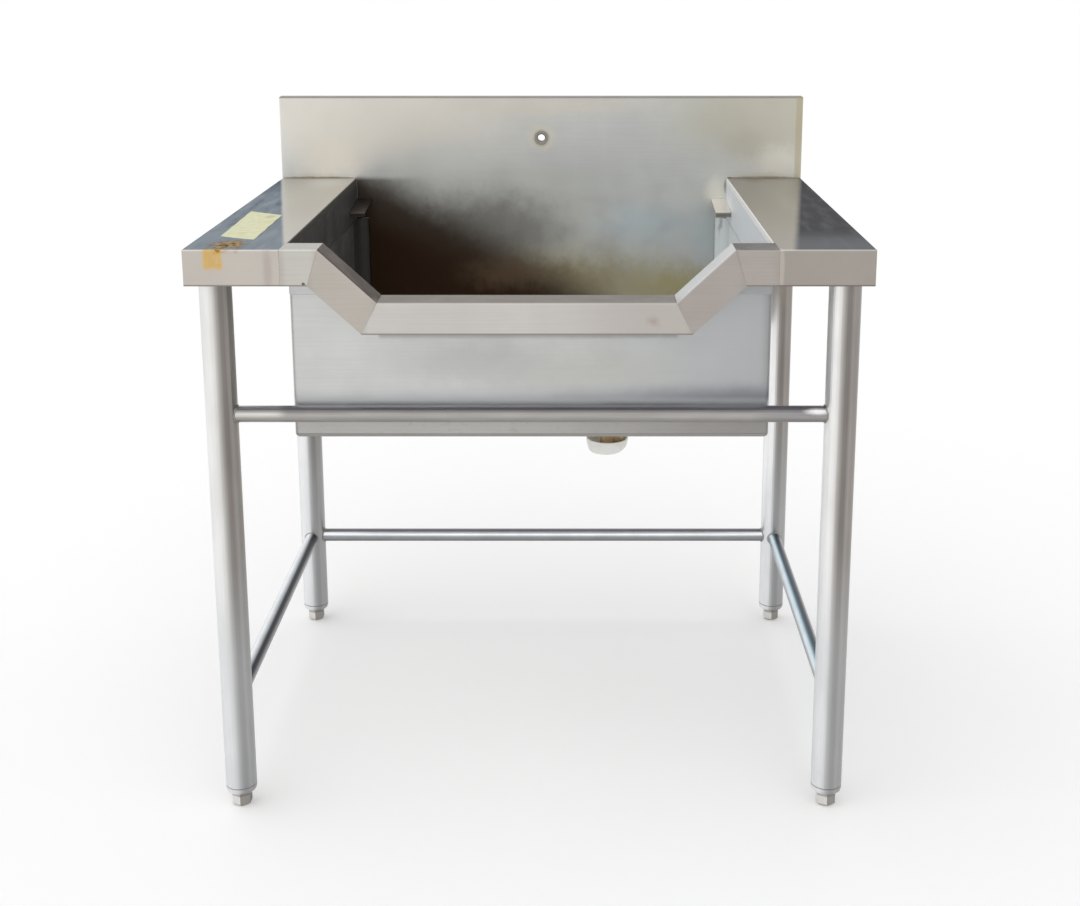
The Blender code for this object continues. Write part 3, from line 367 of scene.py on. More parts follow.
def brushed_sheet(name, colour, along, metallic=0.85, roughness=0.42, relief=True):
    """304 stainless sheet with a No. 4 finish, brushed with a 180-grit belt and dulled by use.

    The belt leaves fine lines one way, so highlights smear across them. The real lines are about
    0.1 mm apart, too fine to show, so they are drawn 1.5 mm apart and 120 mm long. Years of salt
    and scouring leave it half matt, with cloudy spots. On sheet that is seen at a low angle the
    lines melt together, so there only the clouds are drawn and the dull film has no gloss.
    """
    made = Finish("brushed_304_sheet_" + name, colour, metallic, roughness)
    made.cloud(made.grain(9.0, 4.0, 0.6), 0.03)
    if relief:
        belt = made.grain(tuple(8.0 if axis in along else 650.0 for axis in "XYZ"), 2.0)
        made.cloud(belt, 0.025)
        made.reliefs.append((belt, 0.00003))
        made.reliefs.append((made.grain(4.5, 1.0), 0.0015))
        worn = made.step(made.grain(19.0, 3.0, 0.6), 0.35, 0.7, roughness - 0.05, roughness + 0.07)
        made.roughness = made.add("ShaderNodeMapRange", SMOOTH, worn)
    else:
        made.shader.inputs["Specular IOR Level"].default_value = 0.0
    return made


class FISHSINK_OT_back_panel(bpy.types.Operator):
    """Finish the backsplash and the rear wall of the bowl"""

    bl_idname = "fish_sink.back_panel"
    bl_label = "Back panel"

    def execute(self, context):
        clean = (*context.scene.fish_sink.colours.sheet, 1.0)
        made = brushed_sheet("back", clean, "X", 0.75, 0.46)
        made.shader.inputs["Specular IOR Level"].default_value = 0.1
        face = SPLASH_FACE
        marks = partial(made.marks, face, 0.1)
        forward = made.facing(AHEAD, 0.0, 0.2)
        # Painted light and shade on the backsplash: paler on the left and along the top, a darker,
        # warmer tone on the right
        made.lay(made.patch((-0.33, face, 1.03), (0.42, 0.2, 0.15), 0.3, 0.05), "DCD8CF", 0.95)
        marks((
            (-0.40, 0.94, 0.10, 0.06, 0.1, 0.05, "E4DACC", 0.6),
            (-0.20, 0.93, 0.13, 0.05, 0.1, 0.04, "D2D4CF", 0.7),
            (0.45, 1.02, 0.28, 0.12, 0.3, 0.05, "C2BFB1", 0.9),
            (0.39, 0.965, 0.06, 0.04, 0.1, 0.04, "ADA697", 0.3),
            (0.455, 0.93, 0.06, 0.05, 0.2, 0.04, "DEDBCE", 0.7),
            (0.02, 1.04, 0.30, 0.03, 0.1, 0.03, "D8D0C4", 0.6),
            (0.02, 0.905, 0.24, 0.03, 0.1, 0.04, "C0C2BD", 0.5),
        ))

        # The rear wall of the bowl: painted light on its right, and low down an ochre stain and
        # grime, deepened with painted shade
        made.lay((made.beyond(SHELF_TOP - 0.02, DOWN, 0.08, 0.04), forward), "CACBC7", 0.9)
        pale = (0.20, 0.81, 0.14, 0.07, 0.2, 0.05, "C7D0D3", 0.8)
        marks((pale,), forward)
        low = made.beyond((0.1, face, 0.745), (-0.15, 0.0, -1.0), 0.10, 0.06)
        made.lay((low, forward), "AFA888", 0.85, 0.2)
        ochre = (0.26, 0.695, 0.12, 0.045, 0.0, 0.07, "A49659", 0.5, 0.2)
        grime = (0.06, 0.70, 0.16, 0.06, 0.1, 0.06, "94876C", 0.7, 0.2)
        marks((ochre, grime), forward)

        # The dark lower left: a painted shadow that falls from the left, browned with grime
        bowl = (
            made.beyond(SHELF_TOP, DOWN, 0.012, 0.0),
            made.beyond(-BOWL_WALL, RIGHT, 0.004, 0.0),
            forward,
        )
        dim = (-0.10, 0.80, 0.21, 0.11, 0.2, 0.06, "827F7A", 0.85)
        marks((dim,), *bowl)
        shade = made.beyond((-0.14, face, 0.806), (-0.52, 0.0, -0.854), 0.105, 0.03)
        made.lay((shade, *bowl), "3D342B", 0.96, 0.5)
        deep = made.beyond((-0.13, face, 0.755), (-0.42, 0.0, -0.90), 0.13, 0.03)
        made.lay((deep, *bowl), "2E1A0D", 0.9, 0.4)
        brown = (-0.06, 0.715, 0.14, 0.05, 0.1, 0.06, "64523F", 0.65)
        marks((brown,), *bowl)

        # The right rear corner, paler round its support, with one dark run down the joint
        marks((
            (0.335, 0.872, 0.030, 0.040, 0.3, 0.02, "E2E0D6", 0.9),
            (0.315, 0.79, 0.05, 0.08, 0.2, 0.03, "C2CBCD", 0.75),
            (0.3543, 0.884, 0.0022, 0.018, 0.3, 0.002, "77776E", 0.75),
        ), forward)

        tap = box_middle("tap_socket")[0]
        halo = (tap.x, tap.z, 0.034, 0.032, 0.45, 0.016, "D6D0C0", 0.75)
        ring = (tap.x, tap.z, 0.0185, 0.0185, 0.75, 0.004, "8E8672", 0.35)
        marks((halo, ring))
        for side in (-1, 1):
            marks((
                (side * 0.43, SHELF_TOP + 0.001, 0.08, 0.003, 0.4, 0.004, "7C705F", 0.7, 0.3),
                (side * 0.43, SHELF_TOP + 0.004, 0.09, 0.009, 0.1, 0.016, "B5A687", 0.3),
            ), forward)
        made.lay(made.beyond(SPLASH_TOP - 0.003, UP, 0.0025, 0.0), "8A8580", 0.9, 0.3)
        edge = made.beyond(0.487, RIGHT, 0.004, 0.003)
        made.lay((edge, made.facing(AHEAD)), "B0A582", 0.55)
        made.finish("back_panel")
        return {"FINISHED"}


class FISHSINK_OT_bowl(bpy.types.Operator):
    """Finish the walls, the collars and the floor of the bowl"""

    bl_idname = "fish_sink.bowl"
    bl_label = "Bowl"

    def execute(self, context):
        clean = (*context.scene.fish_sink.colours.sheet, 1.0)
        front = BOWL_FRONT
        made = brushed_sheet("bowl", clean, "XY")
        # The front wall is painted darker to the right, as shade
        ahead = made.beyond(front + 0.012, AHEAD, 0.01, 0.0)
        rightward = made.beyond((0.16, 0, 0.71), (1, 0, -0.12), 0.46, 0.04)
        made.lay((ahead, rightward), "A9ABAE", 0.95)
        made.marks(front, 0.05, (
            (0.10, 0.705, 0.19, 0.05, 0.1, 0.05, "B3B3AC", 0.5),
            (-0.08, 0.72, 0.18, 0.06, 0.1, 0.05, "ABACA9", 0.6),
            (0.10, 0.775, 0.18, 0.016, 0.0, 0.03, "B9B197", 0.35),
            (0.03, 0.770, 0.08, 0.010, 0.0, 0.03, "AE9C78", 0.3),
        ))
        # A painted shadow under the rim, and painted shade at the wall's right end and towards the
        # rail
        shadow = made.beyond(0.757, UP, 0.008, 0.004)
        between = made.patch((-0.004, front, 0.76), (0.226, 0.1, 0.1), 0.97, 0.0)
        made.lay((shadow, between), "85837F", 0.6)
        made.lay(made.beyond(0.349, RIGHT, 0.02, 0.004), "8B8884", 0.6)
        low = made.beyond((0.0, front, 0.674), (0.02, 0, -1), 0.028, 0.010)
        made.lay((ahead, low), "B4B6B9", 0.8)
        made.lay((ahead, low, rightward), "74777C", 0.8)
        # Painted light just above the rail; below it the wall is darker along its foot, with specks
        made.lay((ahead, made.beyond(0.660, DOWN, 0.014, 0.002)), "D0D2D4", 0.75)
        foot = made.beyond(0.634, DOWN, 0.004, 0.002)
        made.lay((ahead, foot), "ACA9A5", 0.9)
        made.lay((ahead, foot, rightward), "8A8784", 0.75)
        made.lay((ahead, foot, made.spots((90.0, 60.0, 120.0), 0.55, 0.75)), "98928E", 0.35)

        # Inside, as painted shade and light: the left wall and its rear corner are dark, the right
        # ones bright
        left = made.beyond(-0.3, LEFT, 0.02, 0.0)
        right = made.beyond(0.3, RIGHT, 0.02, 0.0)
        rear = made.beyond(0.30, BACK, 0.02, 0.0)
        made.lay((left, made.facing(RIGHT)), "666563", 0.95, 0.2)
        made.lay((right, made.facing(LEFT)), "F4FAFF", 0.97, 0.8)
        made.lay((rear, left, made.facing((1, -1, 0), 0.1, 0.5)), "231B16", 0.97, 0.9, 0.3)
        made.lay((rear, right, made.facing((-1, -1, 0), 0.1, 0.5)), "E6ECEE", 0.97, 0.9, 0.3)
        made.marks(SPLASH_FACE, 0.05, ((0.346, 0.81, 0.004, 0.03, 0.1, 0.02, "77797A", 0.5),))
        made.finish("bowl_wrap")

        # Each collar: painted shade under the apron; its outside painted lighter on the left, its
        # inside dark on the left and bright on the right
        for side, name, outside, inside, dull in (
            (1, "left", "C5C6C5", "4E4D4D", 0.4),
            (-1, "right", "A5A6A8", "F4FAFF", 0.8),
        ):
            made = brushed_sheet("collar_" + name, outside, "XY")
            made.lay(made.beyond(APRON_BOTTOM - 0.006, UP, 0.006, 0.003), "8E8C88", 0.6)
            made.lay(made.facing((side, 0, 0), 0.5, 0.9), inside, 0.97, dull)
            made.finish("collar_" + name)

        made = brushed_sheet("floor", clean, "X", 0.8, 0.48)
        drain = box_middle("strainer")[0]
        stain = made.patch((drain.x, drain.y, 0.6), (0.15, 0.13, 0.1), 0.25, 0.05)
        made.lay(stain, "9B8F78", 0.6, 0.2)
        made.lay(made.patch((-0.20, 0.25, 0.6), (0.25, 0.2, 0.1), 0.1, 0.06), "A79F8F", 0.5, 0.2)
        # Where the floor's cove faces forward it is painted darker, as shade
        made.lay(made.facing(AHEAD, 0.2, 0.5), "8C8A86", 0.85, 0.3)
        made.finish("bowl_floor")
        return {"FINISHED"}


class FISHSINK_OT_shelves(bpy.types.Operator):
    """Finish the two side wings and their aprons"""

    bl_idname = "fish_sink.shelves"
    bl_label = "Side wings"

    def execute(self, context):
        made = brushed_sheet("left_wing", "BFB8B0", "Y", 0.85, 0.32, False)
        top = made.facing(UP)
        made.lay(top, "BDBAB2")
        # Painted reflection on the top: paler towards the backsplash
        made.lay(made.patch((-0.40, 0.33, 0.9), (0.06, 0.14, 0.1), 0.1, 0.03), "D1D2CF", 0.8)
        made.lay(made.patch((-0.39, -0.02, 0.9), (0.05, 0.20, 0.1), 0.1, 0.03), "B3AFA8", 0.4)
        # The outer part's darker mirror tone is painted too, in streaks
        outer = made.beyond((-0.43, 0, 0.9), (-0.967, -0.191, 0.0), 0.007, 0.002)
        streaks = (70.0, 9.0, 9.0)
        made.lay((top, outer), "7F8992", 0.97, 0.8)
        made.lay((top, outer, made.spots(streaks, 0.48, 0.68, 4.0)), "97A1AA", 0.6)
        made.lay((top, outer, made.spots(streaks, 0.46, 0.30, 4.0)), "55606C", 0.6)
        made.lay((top, outer, made.beyond(0.22, BACK, 0.3, 0.04)), "4E5963", 0.85)
        made.lay((top, outer, made.beyond(-0.20, AHEAD, 0.2, 0.04)), "8D959C", 0.5)
        # Painted shade on the fold into the bowl, and a painted highlight on the front fold
        made.lay(made.facing((1, 0, 0.2), 0.5, 0.9), "4A4744", 0.9, 0.5)
        made.lay(made.front_fold(0.88, 0.3), "DCDAD5", 0.8)

        # Rust under a bolt head long gone, and the drip that it left down the apron
        high = made.beyond((-0.456, 0, 0.871), (0.1, 0, 1), 0.010, 0.016)
        drip = made.patch((-0.456, FRONT, 0.89), (0.0165, 0.3, 0.3), 0.62, 0.010)
        drip = (drip, high, made.facing((0, -1, 0.2), 0.3, 0.6))
        made.lay(drip, "D9C08E", 0.8, 0.5)
        made.lay((*drip, made.spots((110.0, 110.0, 60.0), 0.10, 0.55, 4.0)), "CDA65C", 0.7)
        rust = made.patch((-0.441, -0.352, 0.9), (0.032, 0.052, 0.01), 0.3, 0.05)
        made.lay((rust, made.spots(60.0, 0.34, 0.48)), "BC9448", 0.9, 0.6)
        made.lay((rust, made.spots(130.0, 0.49, 0.56)), "432A11", 0.95, 0.4)
        made.marks(FRONT, 0.02, ((-0.377, 0.87, 0.010, 0.05, 0.2, 0.006, "ABA19A", 0.6),))
        made.lower_edge(APRON_BOTTOM, "77716C", 0.3)
        made.finish("left_shelf")

        # The right wing's top carries painted reflection: darker than the left one, with a dark
        # mirror tone outside
        made = brushed_sheet("right_wing", "A29B94", "Y", 0.85, 0.32, False)
        top = made.facing(UP)
        made.lay(top, "9E998F")
        made.lay((top, made.beyond(0.30, BACK, 0.30, 0.04)), "9C968E", 0.75, 0.1)
        made.lay(made.patch((0.405, 0.34, 0.9), (0.03, 0.05, 0.1), 0.1, 0.03), "78705F", 0.5)
        made.lay(made.patch((0.43, 0.05, 0.9), (0.03, 0.2, 0.1), 0.1, 0.02), "AAA79C", 0.5)
        outer = made.beyond((0.442, 0, 0.9), (0.988, -0.15, 0.0), 0.014, 0.003)
        made.lay((top, outer), "4A4A4D", 0.97, 0.8)
        made.lay((top, outer, made.spots((45.0, 9.0, 9.0), 0.45, 0.75, 4.0)), "6D6F74", 0.5)
        made.lay((top, outer, made.beyond(-0.28, AHEAD, 0.16, 0.04)), "787A7D", 0.7)
        # A painted highlight on the fold into the bowl and on the front fold
        made.lay(made.facing((-1, 0, 0.2), 0.5, 0.9), "FFFFFF", 0.97, 0.8)
        made.lay(made.front_fold(0.88, 0.3), "D0CDC8", 0.8)
        made.marks(FRONT, 0.02, ((0.363, 0.872, 0.006, 0.05, 0.4, 0.004, "BDB5AD", 0.6),))
        made.lower_edge(APRON_BOTTOM, "6A645F", 0.3)
        made.finish("right_shelf")
        return {"FINISHED"}


class FISHSINK_OT_front_rim(bpy.types.Operator):
    """Finish the five strips of the front rim and the supports in the rear corners"""

    bl_idname = "fish_sink.front_rim"
    bl_label = "Front rim"

    def execute(self, context):
        # Each strip: the colour of its face, flange and fold, with the light on them painted in
        for name, front, flange, fold in (
            ("rim_left", "BFBCB5", "B6B3AD", "D8D6D1"),
            ("rim_left_slope", "B3ACA4", "392B20", "5A5048"),
            ("rim_centre", "C2BFBB", "7A736C", "A39C96"),
            ("rim_right_slope", "A69F9A", "D5D8D8", "8F8A86"),
            ("rim_right", "A9A29C", "4F4A46", "8A8581"),
        ):
            made = brushed_sheet(name, front, "X")
            if name == "rim_centre":
                # The centre strip is painted darker to the right, as shade, and has a brown spot
                made.lay(made.beyond(0.08, RIGHT, 0.2, 0.04), "B5AFAA", 0.9)
                made.marks(FRONT, 0.02, ((0.179, 0.795, 0.014, 0.012, 0.0, 0.02, "A3928A", 0.6),))
            made.lay(made.facing(UP, 0.3, 0.6), flange, 0.97, 0.4)
            made.lay(made.front_fold(0.80, 0.2), fold, 0.9, 0.4)
            low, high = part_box("front_" + name)
            seam = ((low.z + high.z) / 2, 0.012, 0.06, 0.0, 0.010, "A0978F", 0.45)
            made.marks(FRONT, 0.03, ((low.x, *seam), (high.x, *seam)))
            if name == "rim_left":
                # A small hole, drawn as a spot of painted shade
                hole = (-0.3262, 0.8495, 0.0034, 0.0030, 0.4, 0.003, "35302B", 0.9, 0.8)
                made.marks(FRONT, 0.02, (hole,))
            made.lower_edge(low.z, "7A736E", 0.2)
            made.finish("front_" + name)

        # The rear supports: the left one painted dark as shade, the right one light, with painted
        # shade on its front
        brushed_sheet("support_left", "48423F", "Y").finish("rear_ledge_left")
        made = brushed_sheet("support_right", "EAE5DE", "Y")
        made.lay(made.facing(AHEAD), "6E6A62", 0.9, 0.3)
        made.finish("rear_ledge_right")
        return {"FINISHED"}


# Tube, plate and the waste


def toward(angle):
    """A level direction, as degrees from the front towards the right end."""
    return (math.sin(math.radians(angle)), -math.cos(math.radians(angle)), 0.0)


def satin_tube(name, colour, along, metallic=0.9, roughness=0.32):
    """Welded 304 tube, satin-polished lengthwise with a 320-grit belt.

    It is brighter than the sheet. The real belt lines are finer than 0.1 mm, so they are drawn
    1 mm apart. The long bands of light and dark that such tube mirrors are painted with
    round_shade, as base colour that stays where it is on the tube.
    """
    made = Finish(name, colour, metallic, roughness)
    belt = made.grain(tuple(6.0 if axis == along else 900.0 for axis in "XYZ"), 2.0)
    made.cloud(belt, 0.03)
    made.cloud(made.grain(11.0), 0.03)
    made.reliefs.append((belt, 0.00002))
    return made


# The painted bands of a leg from its left side to its right: broad and bright, dark, and a light
# edge. These and the rails' were worked out from the photograph's tones across each tube.
LEG_STOPS = (
    (0.00, "D6D6D5"), (0.20, "E9E9E8"), (0.36, "E4E3E1"), (0.48, "CFCDCA"), (0.60, "A39F9B"),
    (0.70, "827D78"), (0.80, "7E7974"), (0.90, "99948F"), (1.00, "908B86"),
)
LEG_SLIDE = 0.10

# Each leg: how far its bands are turned, in degrees, and the strength of its painted gleam
LEG_LIGHT = {
    "front_left": (12.0, 0.05),
    "front_right": (-9.5, 0.35),
    "back_left": (9.0, 0.6),
    "back_right": (-7.0, 0.95),
}

# The front rail's painted bands of light and shade, from its lower side to its top: in front of the
# bowl, and clear of it
FRONT_RAIL_ACROSS = (0.0, 0.286, 0.958)
FRONT_RAIL_STOPS = (
    (0.00, "8E8B88"), (0.12, "94918E"), (0.30, "A6A3A0"), (0.43, "A5A29F"), (0.58, "817E7C"),
    (0.70, "686669"), (0.80, "78767A"), (0.90, "9A989C"), (1.00, "AAA9AC"),
)
CLEAR_RAIL_STOPS = (
    (0.00, "A3A09C"), (0.20, "A09D98"), (0.34, "C2C0BB"), (0.46, "CECDC9"), (0.56, "ACAAA8"),
    (0.68, "7D7B7E"), (0.78, "838186"), (0.88, "B9B8BA"), (1.00, "CDCCCD"),
)

# The other rails: the way along, the way across, and the stops of their painted light and shade
# from the lower or the left side
RAILS = {
    "back_rail": ("X", (0.0, 0.364, 0.931), (
        (0.00, "75777B"), (0.14, "8E9094"), (0.36, "A6A9AD"), (0.46, "DFE1E4"),
        (0.58, "F8F9FA"), (0.70, "D4D6D9"), (0.78, "73737A"), (0.88, "606067"), (1.00, "8F8F95"),
    )),
    "side_rail_left": ("Y", (0.9015, 0.0, -0.433), (
        (0.00, "C9CED2"), (0.10, "F4F7FA"), (0.26, "D3D6D9"), (0.42, "9CA1A6"),
        (0.52, "30363E"), (0.62, "151B22"), (0.72, "1E2228"), (0.82, "625F64"), (1.00, "A8A6A8"),
    )),
    "side_rail_right": ("Y", (0.9427, 0.0, 0.3338), (
        (0.00, "7F8588"), (0.10, "AEB7BC"), (0.22, "E9F2F7"), (0.38, "D3E2EA"),
        (0.50, "8FA6B4"), (0.62, "4E6677"), (0.74, "2B3540"), (0.85, "3E4248"), (1.00, "A9A9AA"),
    )),
}


class FISHSINK_OT_tubes(bpy.types.Operator):
    """Finish the legs, rails, foot collars, hexagonal pads and the tap socket"""

    bl_idname = "fish_sink.tubes"
    bl_label = "Legs and rails"

    def execute(self, context):
        colour = (*context.scene.fish_sink.colours.tube, 1.0)
        for place in PLACES:
            middle, half = box_middle("leg_" + place)
            turn, gleam = LEG_LIGHT[place]
            for name in ("leg", "foot_insert"):
                made = satin_tube(f"satin_304_tube_{name}_{place}", colour, "Z")
                across = toward(turn + 90)
                made.colour = made.round_shade(middle, half.x, across, LEG_STOPS, LEG_SLIDE)
                made.lay(made.facing(toward(turn - 38), 0.80, 0.97), "FFFFFF", gleam)
                made.cloud(made.grain((600.0, 600.0, 6.0), 2.0), 0.03)
                made.cloud(made.grain((30.0, 30.0, 8.0)), 0.06)
                # Painted reflection: the legs are lighter and bluer low down
                made.lay(made.beyond(0.35, DOWN, 0.3, 0.03), "C9D0D8", 0.3)
                # The back right leg is painted darker and browner at the top, as shade behind the
                # bowl
                if place == "back_right":
                    made.lay(made.beyond(0.66, UP, 0.10, 0.02), "94867C", 0.45)
                if name == "foot_insert":
                    made.lay(made.beyond(0.0345, UP, 0.001, 0.0), "6F6A64", 0.8, 0.3)
                made.finish(f"{name}_{place}")

            made = satin_tube("cast_304_foot_" + place, "DEDCD8", "Z", 0.85, 0.36)
            # The pad's flats are painted darker the more they face right, as shade
            made.lay(made.facing(toward(30), 0.90, 0.97), "928E88", 0.92, 0.3)
            made.lay(made.facing(toward(90), 0.90, 0.97), "4A4743", 0.92, 0.3)
            made.lay(made.beyond(0.0175, UP, 0.003, 0.001), "77736C", 0.6)
            made.lay(made.beyond(0.003, DOWN, 0.004, 0.002), "6A645C", 0.7, 0.4)
            made.finish("foot_pad_" + place)

        made = satin_tube("satin_304_tube_rail", colour, "X")
        middle, half = box_middle("front_rail")
        made.colour = made.round_shade(middle, half.z, FRONT_RAIL_ACROSS, FRONT_RAIL_STOPS)
        clear = made.round_shade(middle, half.z, FRONT_RAIL_ACROSS, CLEAR_RAIL_STOPS)
        made.lay(made.beyond(-0.372, LEFT, 0.024, 0.008), clear)
        # Painted shade towards the right end, and a painted glint near it
        made.lay(made.beyond(0.34, RIGHT, 0.04, 0.01), "74737A", 0.3)
        glint = (0.428, middle.y - 0.0106, middle.z + 0.0066)
        made.lay(made.patch(glint, (0.028, 0.012, 0.0065), 0.1, 0.004), "FFFFFF", 0.8, 0.5)
        made.cloud(made.grain((8.0, 500.0, 500.0), 2.0), 0.04)
        made.cloud(made.grain((14.0, 60.0, 60.0)), 0.05)
        made.finish("front_rail")
        for name, (along, across, stops) in RAILS.items():
            made = satin_tube("satin_304_tube_" + name, colour, along)
            middle, half = box_middle(name)
            made.colour = made.round_shade(middle, half.z, across, stops)
            made.cloud(made.grain(25.0), 0.05)
            made.finish(name)

        satin_tube("turned_304_socket", "96938A", "Y", 0.85, 0.36).finish("tap_socket")
        return {"FINISHED"}


def mill_steel(name, colour):
    """304 plate as it leaves the mill, pickled to an even, grainy grey with no belt lines."""
    made = Finish(name, colour, 0.9, 0.48)
    grain = made.grain(900.0, 2.0)
    made.cloud(grain, 0.05)
    made.cloud(made.grain(14.0, 4.0), 0.07)
    made.reliefs.append((grain, 0.00005))
    return made


def old_brass(name):
    """Cast CW617N brass, brown from damp air: dark in hollows and yellower where it is rubbed."""
    made = Finish(name, "BFA985", 0.85, 0.42)
    made.lay(made.spots(60.0, 0.45, 0.6, 4.0), "8F7253", 0.7, 0.3, 0.1)
    made.lay(made.spots(25.0, 0.55, 0.7), "DCC08C", 0.5)
    made.reliefs.append((made.grain(700.0), 0.00008))
    return made


class FISHSINK_OT_waste(bpy.types.Operator):
    """Finish the waste, its seals, the strainer, the hidden steel and the outlet cup"""

    bl_idname = "fish_sink.waste"
    bl_label = "Waste"

    def execute(self, context):
        hidden = ["shelf_channel_left", "shelf_channel_right", "waste_body", "waste_clamp_ring"]
        hidden += ["leg_plate_" + place for place in PLACES]
        mill_steel("pickled_304_plate", "A5A4A0").finish(*hidden)
        made = mill_steel("pressed_304_strainer", "BDBBB5")
        drain = tuple(box_middle("strainer")[0])
        made.lay(made.patch(drain, (0.03, 0.03, 0.012), 0.2, 0.006), "857B69", 0.6, 0.3)
        made.finish("strainer")
        old_brass("tarnished_brass").finish("back_nut")

        # Nitrile rubber, moulded: matt black with a faint bloom
        made = Finish("moulded_nitrile_rubber", "1C1B1A", 0.0, 0.75)
        made.cloud(made.grain(80.0), 0.25)
        made.reliefs.append((made.grain(1200.0, 2.0), 0.00004))
        made.finish("waste_seal", "tail_gasket")

        # Moulded polypropylene: milky, so light passes a little way in, with a soft gloss
        made = Finish("moulded_polypropylene", "F0EFEA", 0.0, 0.38)
        made.lay(made.spots(45.0, 0.5, 0.75, 4.0), "DEDACB", 0.4)
        made.reliefs.append((made.grain(600.0, 2.0), 0.00005))
        made.shader.inputs["Subsurface Weight"].default_value = 0.35
        made.shader.inputs["Subsurface Radius"].default_value = (0.006, 0.006, 0.005)
        made.shader.inputs["Subsurface Scale"].default_value = 1.0
        made.finish("outlet_cup")
        return {"FINISHED"}


# Small pieces


def new_piece(name, shape, finish, body):
    """Makes a smooth piece from a bmesh and lets it ride on a body."""
    bmesh.ops.recalc_face_normals(shape, faces=shape.faces)
    mesh = bpy.data.meshes.new(name)
    shape.to_mesh(mesh)
    shape.free()
    mesh.shade_smooth()
    mesh.set_sharp_from_angle(angle=math.radians(50))
    mesh.materials.append(finish)
    made = bpy.data.objects.new(name, mesh)
    bpy.context.scene.collection.objects.link(made)
    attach(made, body)
    return made


def join(shape, first, second):
    """Joins two rings of vertices with a strip of faces."""
    for index in range(len(first)):
        after = (index + 1) % len(first)
        shape.faces.new((first[index], first[after], second[after], second[index]))


def skin(shape, rings, closed):
    """Joins a row of rings. Closed joins its last to its first, and else its ends are capped."""
    for first, second in zip(rings, rings[1:]):
        join(shape, first, second)
    if closed:
        join(shape, rings[-1], rings[0])
    else:
        shape.faces.new(rings[0][::-1])
        shape.faces.new(rings[-1])


def threaded_rod(shape, middle, bore, root, crest, low, high, pitch):
    """Adds a turned body with a screw thread on it; a bore of 0 leaves it solid."""

    def ring_vertex(side, radius, z):
        turn = 2 * math.pi * side / THREAD_SIDES
        x, y = middle.x + math.cos(turn) * radius, middle.y + math.sin(turn) * radius
        return shape.verts.new((x, y, z))

    rows = int((high - low) / pitch * THREAD_ROWS_PER_TURN)
    rings = []
    for row in range(rows + 1):
        z = low + (high - low) * row / rows
        ring = []
        for side in range(THREAD_SIDES):
            phase = (z / pitch - side / THREAD_SIDES) % 1.0
            share = 0.0 if row in (0, rows) else 1.0 - abs(2 * phase - 1.0)
            ring.append(ring_vertex(side, root + (crest - root) * share, z))
        rings.append(ring)
    if bore:
        for z in (high, low):
            rings.append([ring_vertex(side, bore, z) for side in range(THREAD_SIDES)])
    skin(shape, rings, bool(bore))


def bead(name, points, radius, ripple, finish, closed=False):
    """Lays a weld bead along points, which swells and thins with the ripple, one number a point."""
    shape = bmesh.new()
    last = len(points) - 1
    rings = []
    for index, point in enumerate(points):
        if closed:
            before, after = points[index - 1], points[(index + 1) % len(points)]
        else:
            before, after = points[max(index - 1, 0)], points[min(index + 1, last)]
        along = (Vector(after) - Vector(before)).normalized()
        across = along.cross(Vector((0.3, 0.5, 0.81))).normalized()
        up = along.cross(across)
        ring = []
        for side in range(BEAD_SIDES):
            turn = 2 * math.pi * side / BEAD_SIDES
            offset = across * math.cos(turn) + up * math.sin(turn)
            ring.append(shape.verts.new(Vector(point) + offset * (radius * ripple[index])))
        rings.append(ring)
    skin(shape, rings, closed)
    return new_piece(name, shape, finish, "frame")


def seam_points(start, end):
    """Evenly spaced places from the start of a straight seam to its end."""
    start, end = Vector(start), Vector(end)
    return [start.lerp(end, step / SEAM_WELD_STEPS) for step in range(SEAM_WELD_STEPS + 1)]


def weld_metal(name, colour, tint, hollow):
    """Weld metal from TIG rod, wire-brushed: dull ripples with straw and grey heat tint in them."""
    made = Finish(name, colour, 1.0, 0.36)
    made.lay(made.spots(70.0, 0.52, 0.66), tint, 0.6)
    made.lay(made.spots(70.0, 0.5, 0.36), hollow, 0.6)
    made.reliefs.append((made.grain(500.0, 2.0), 0.0001))
    return made.finish()


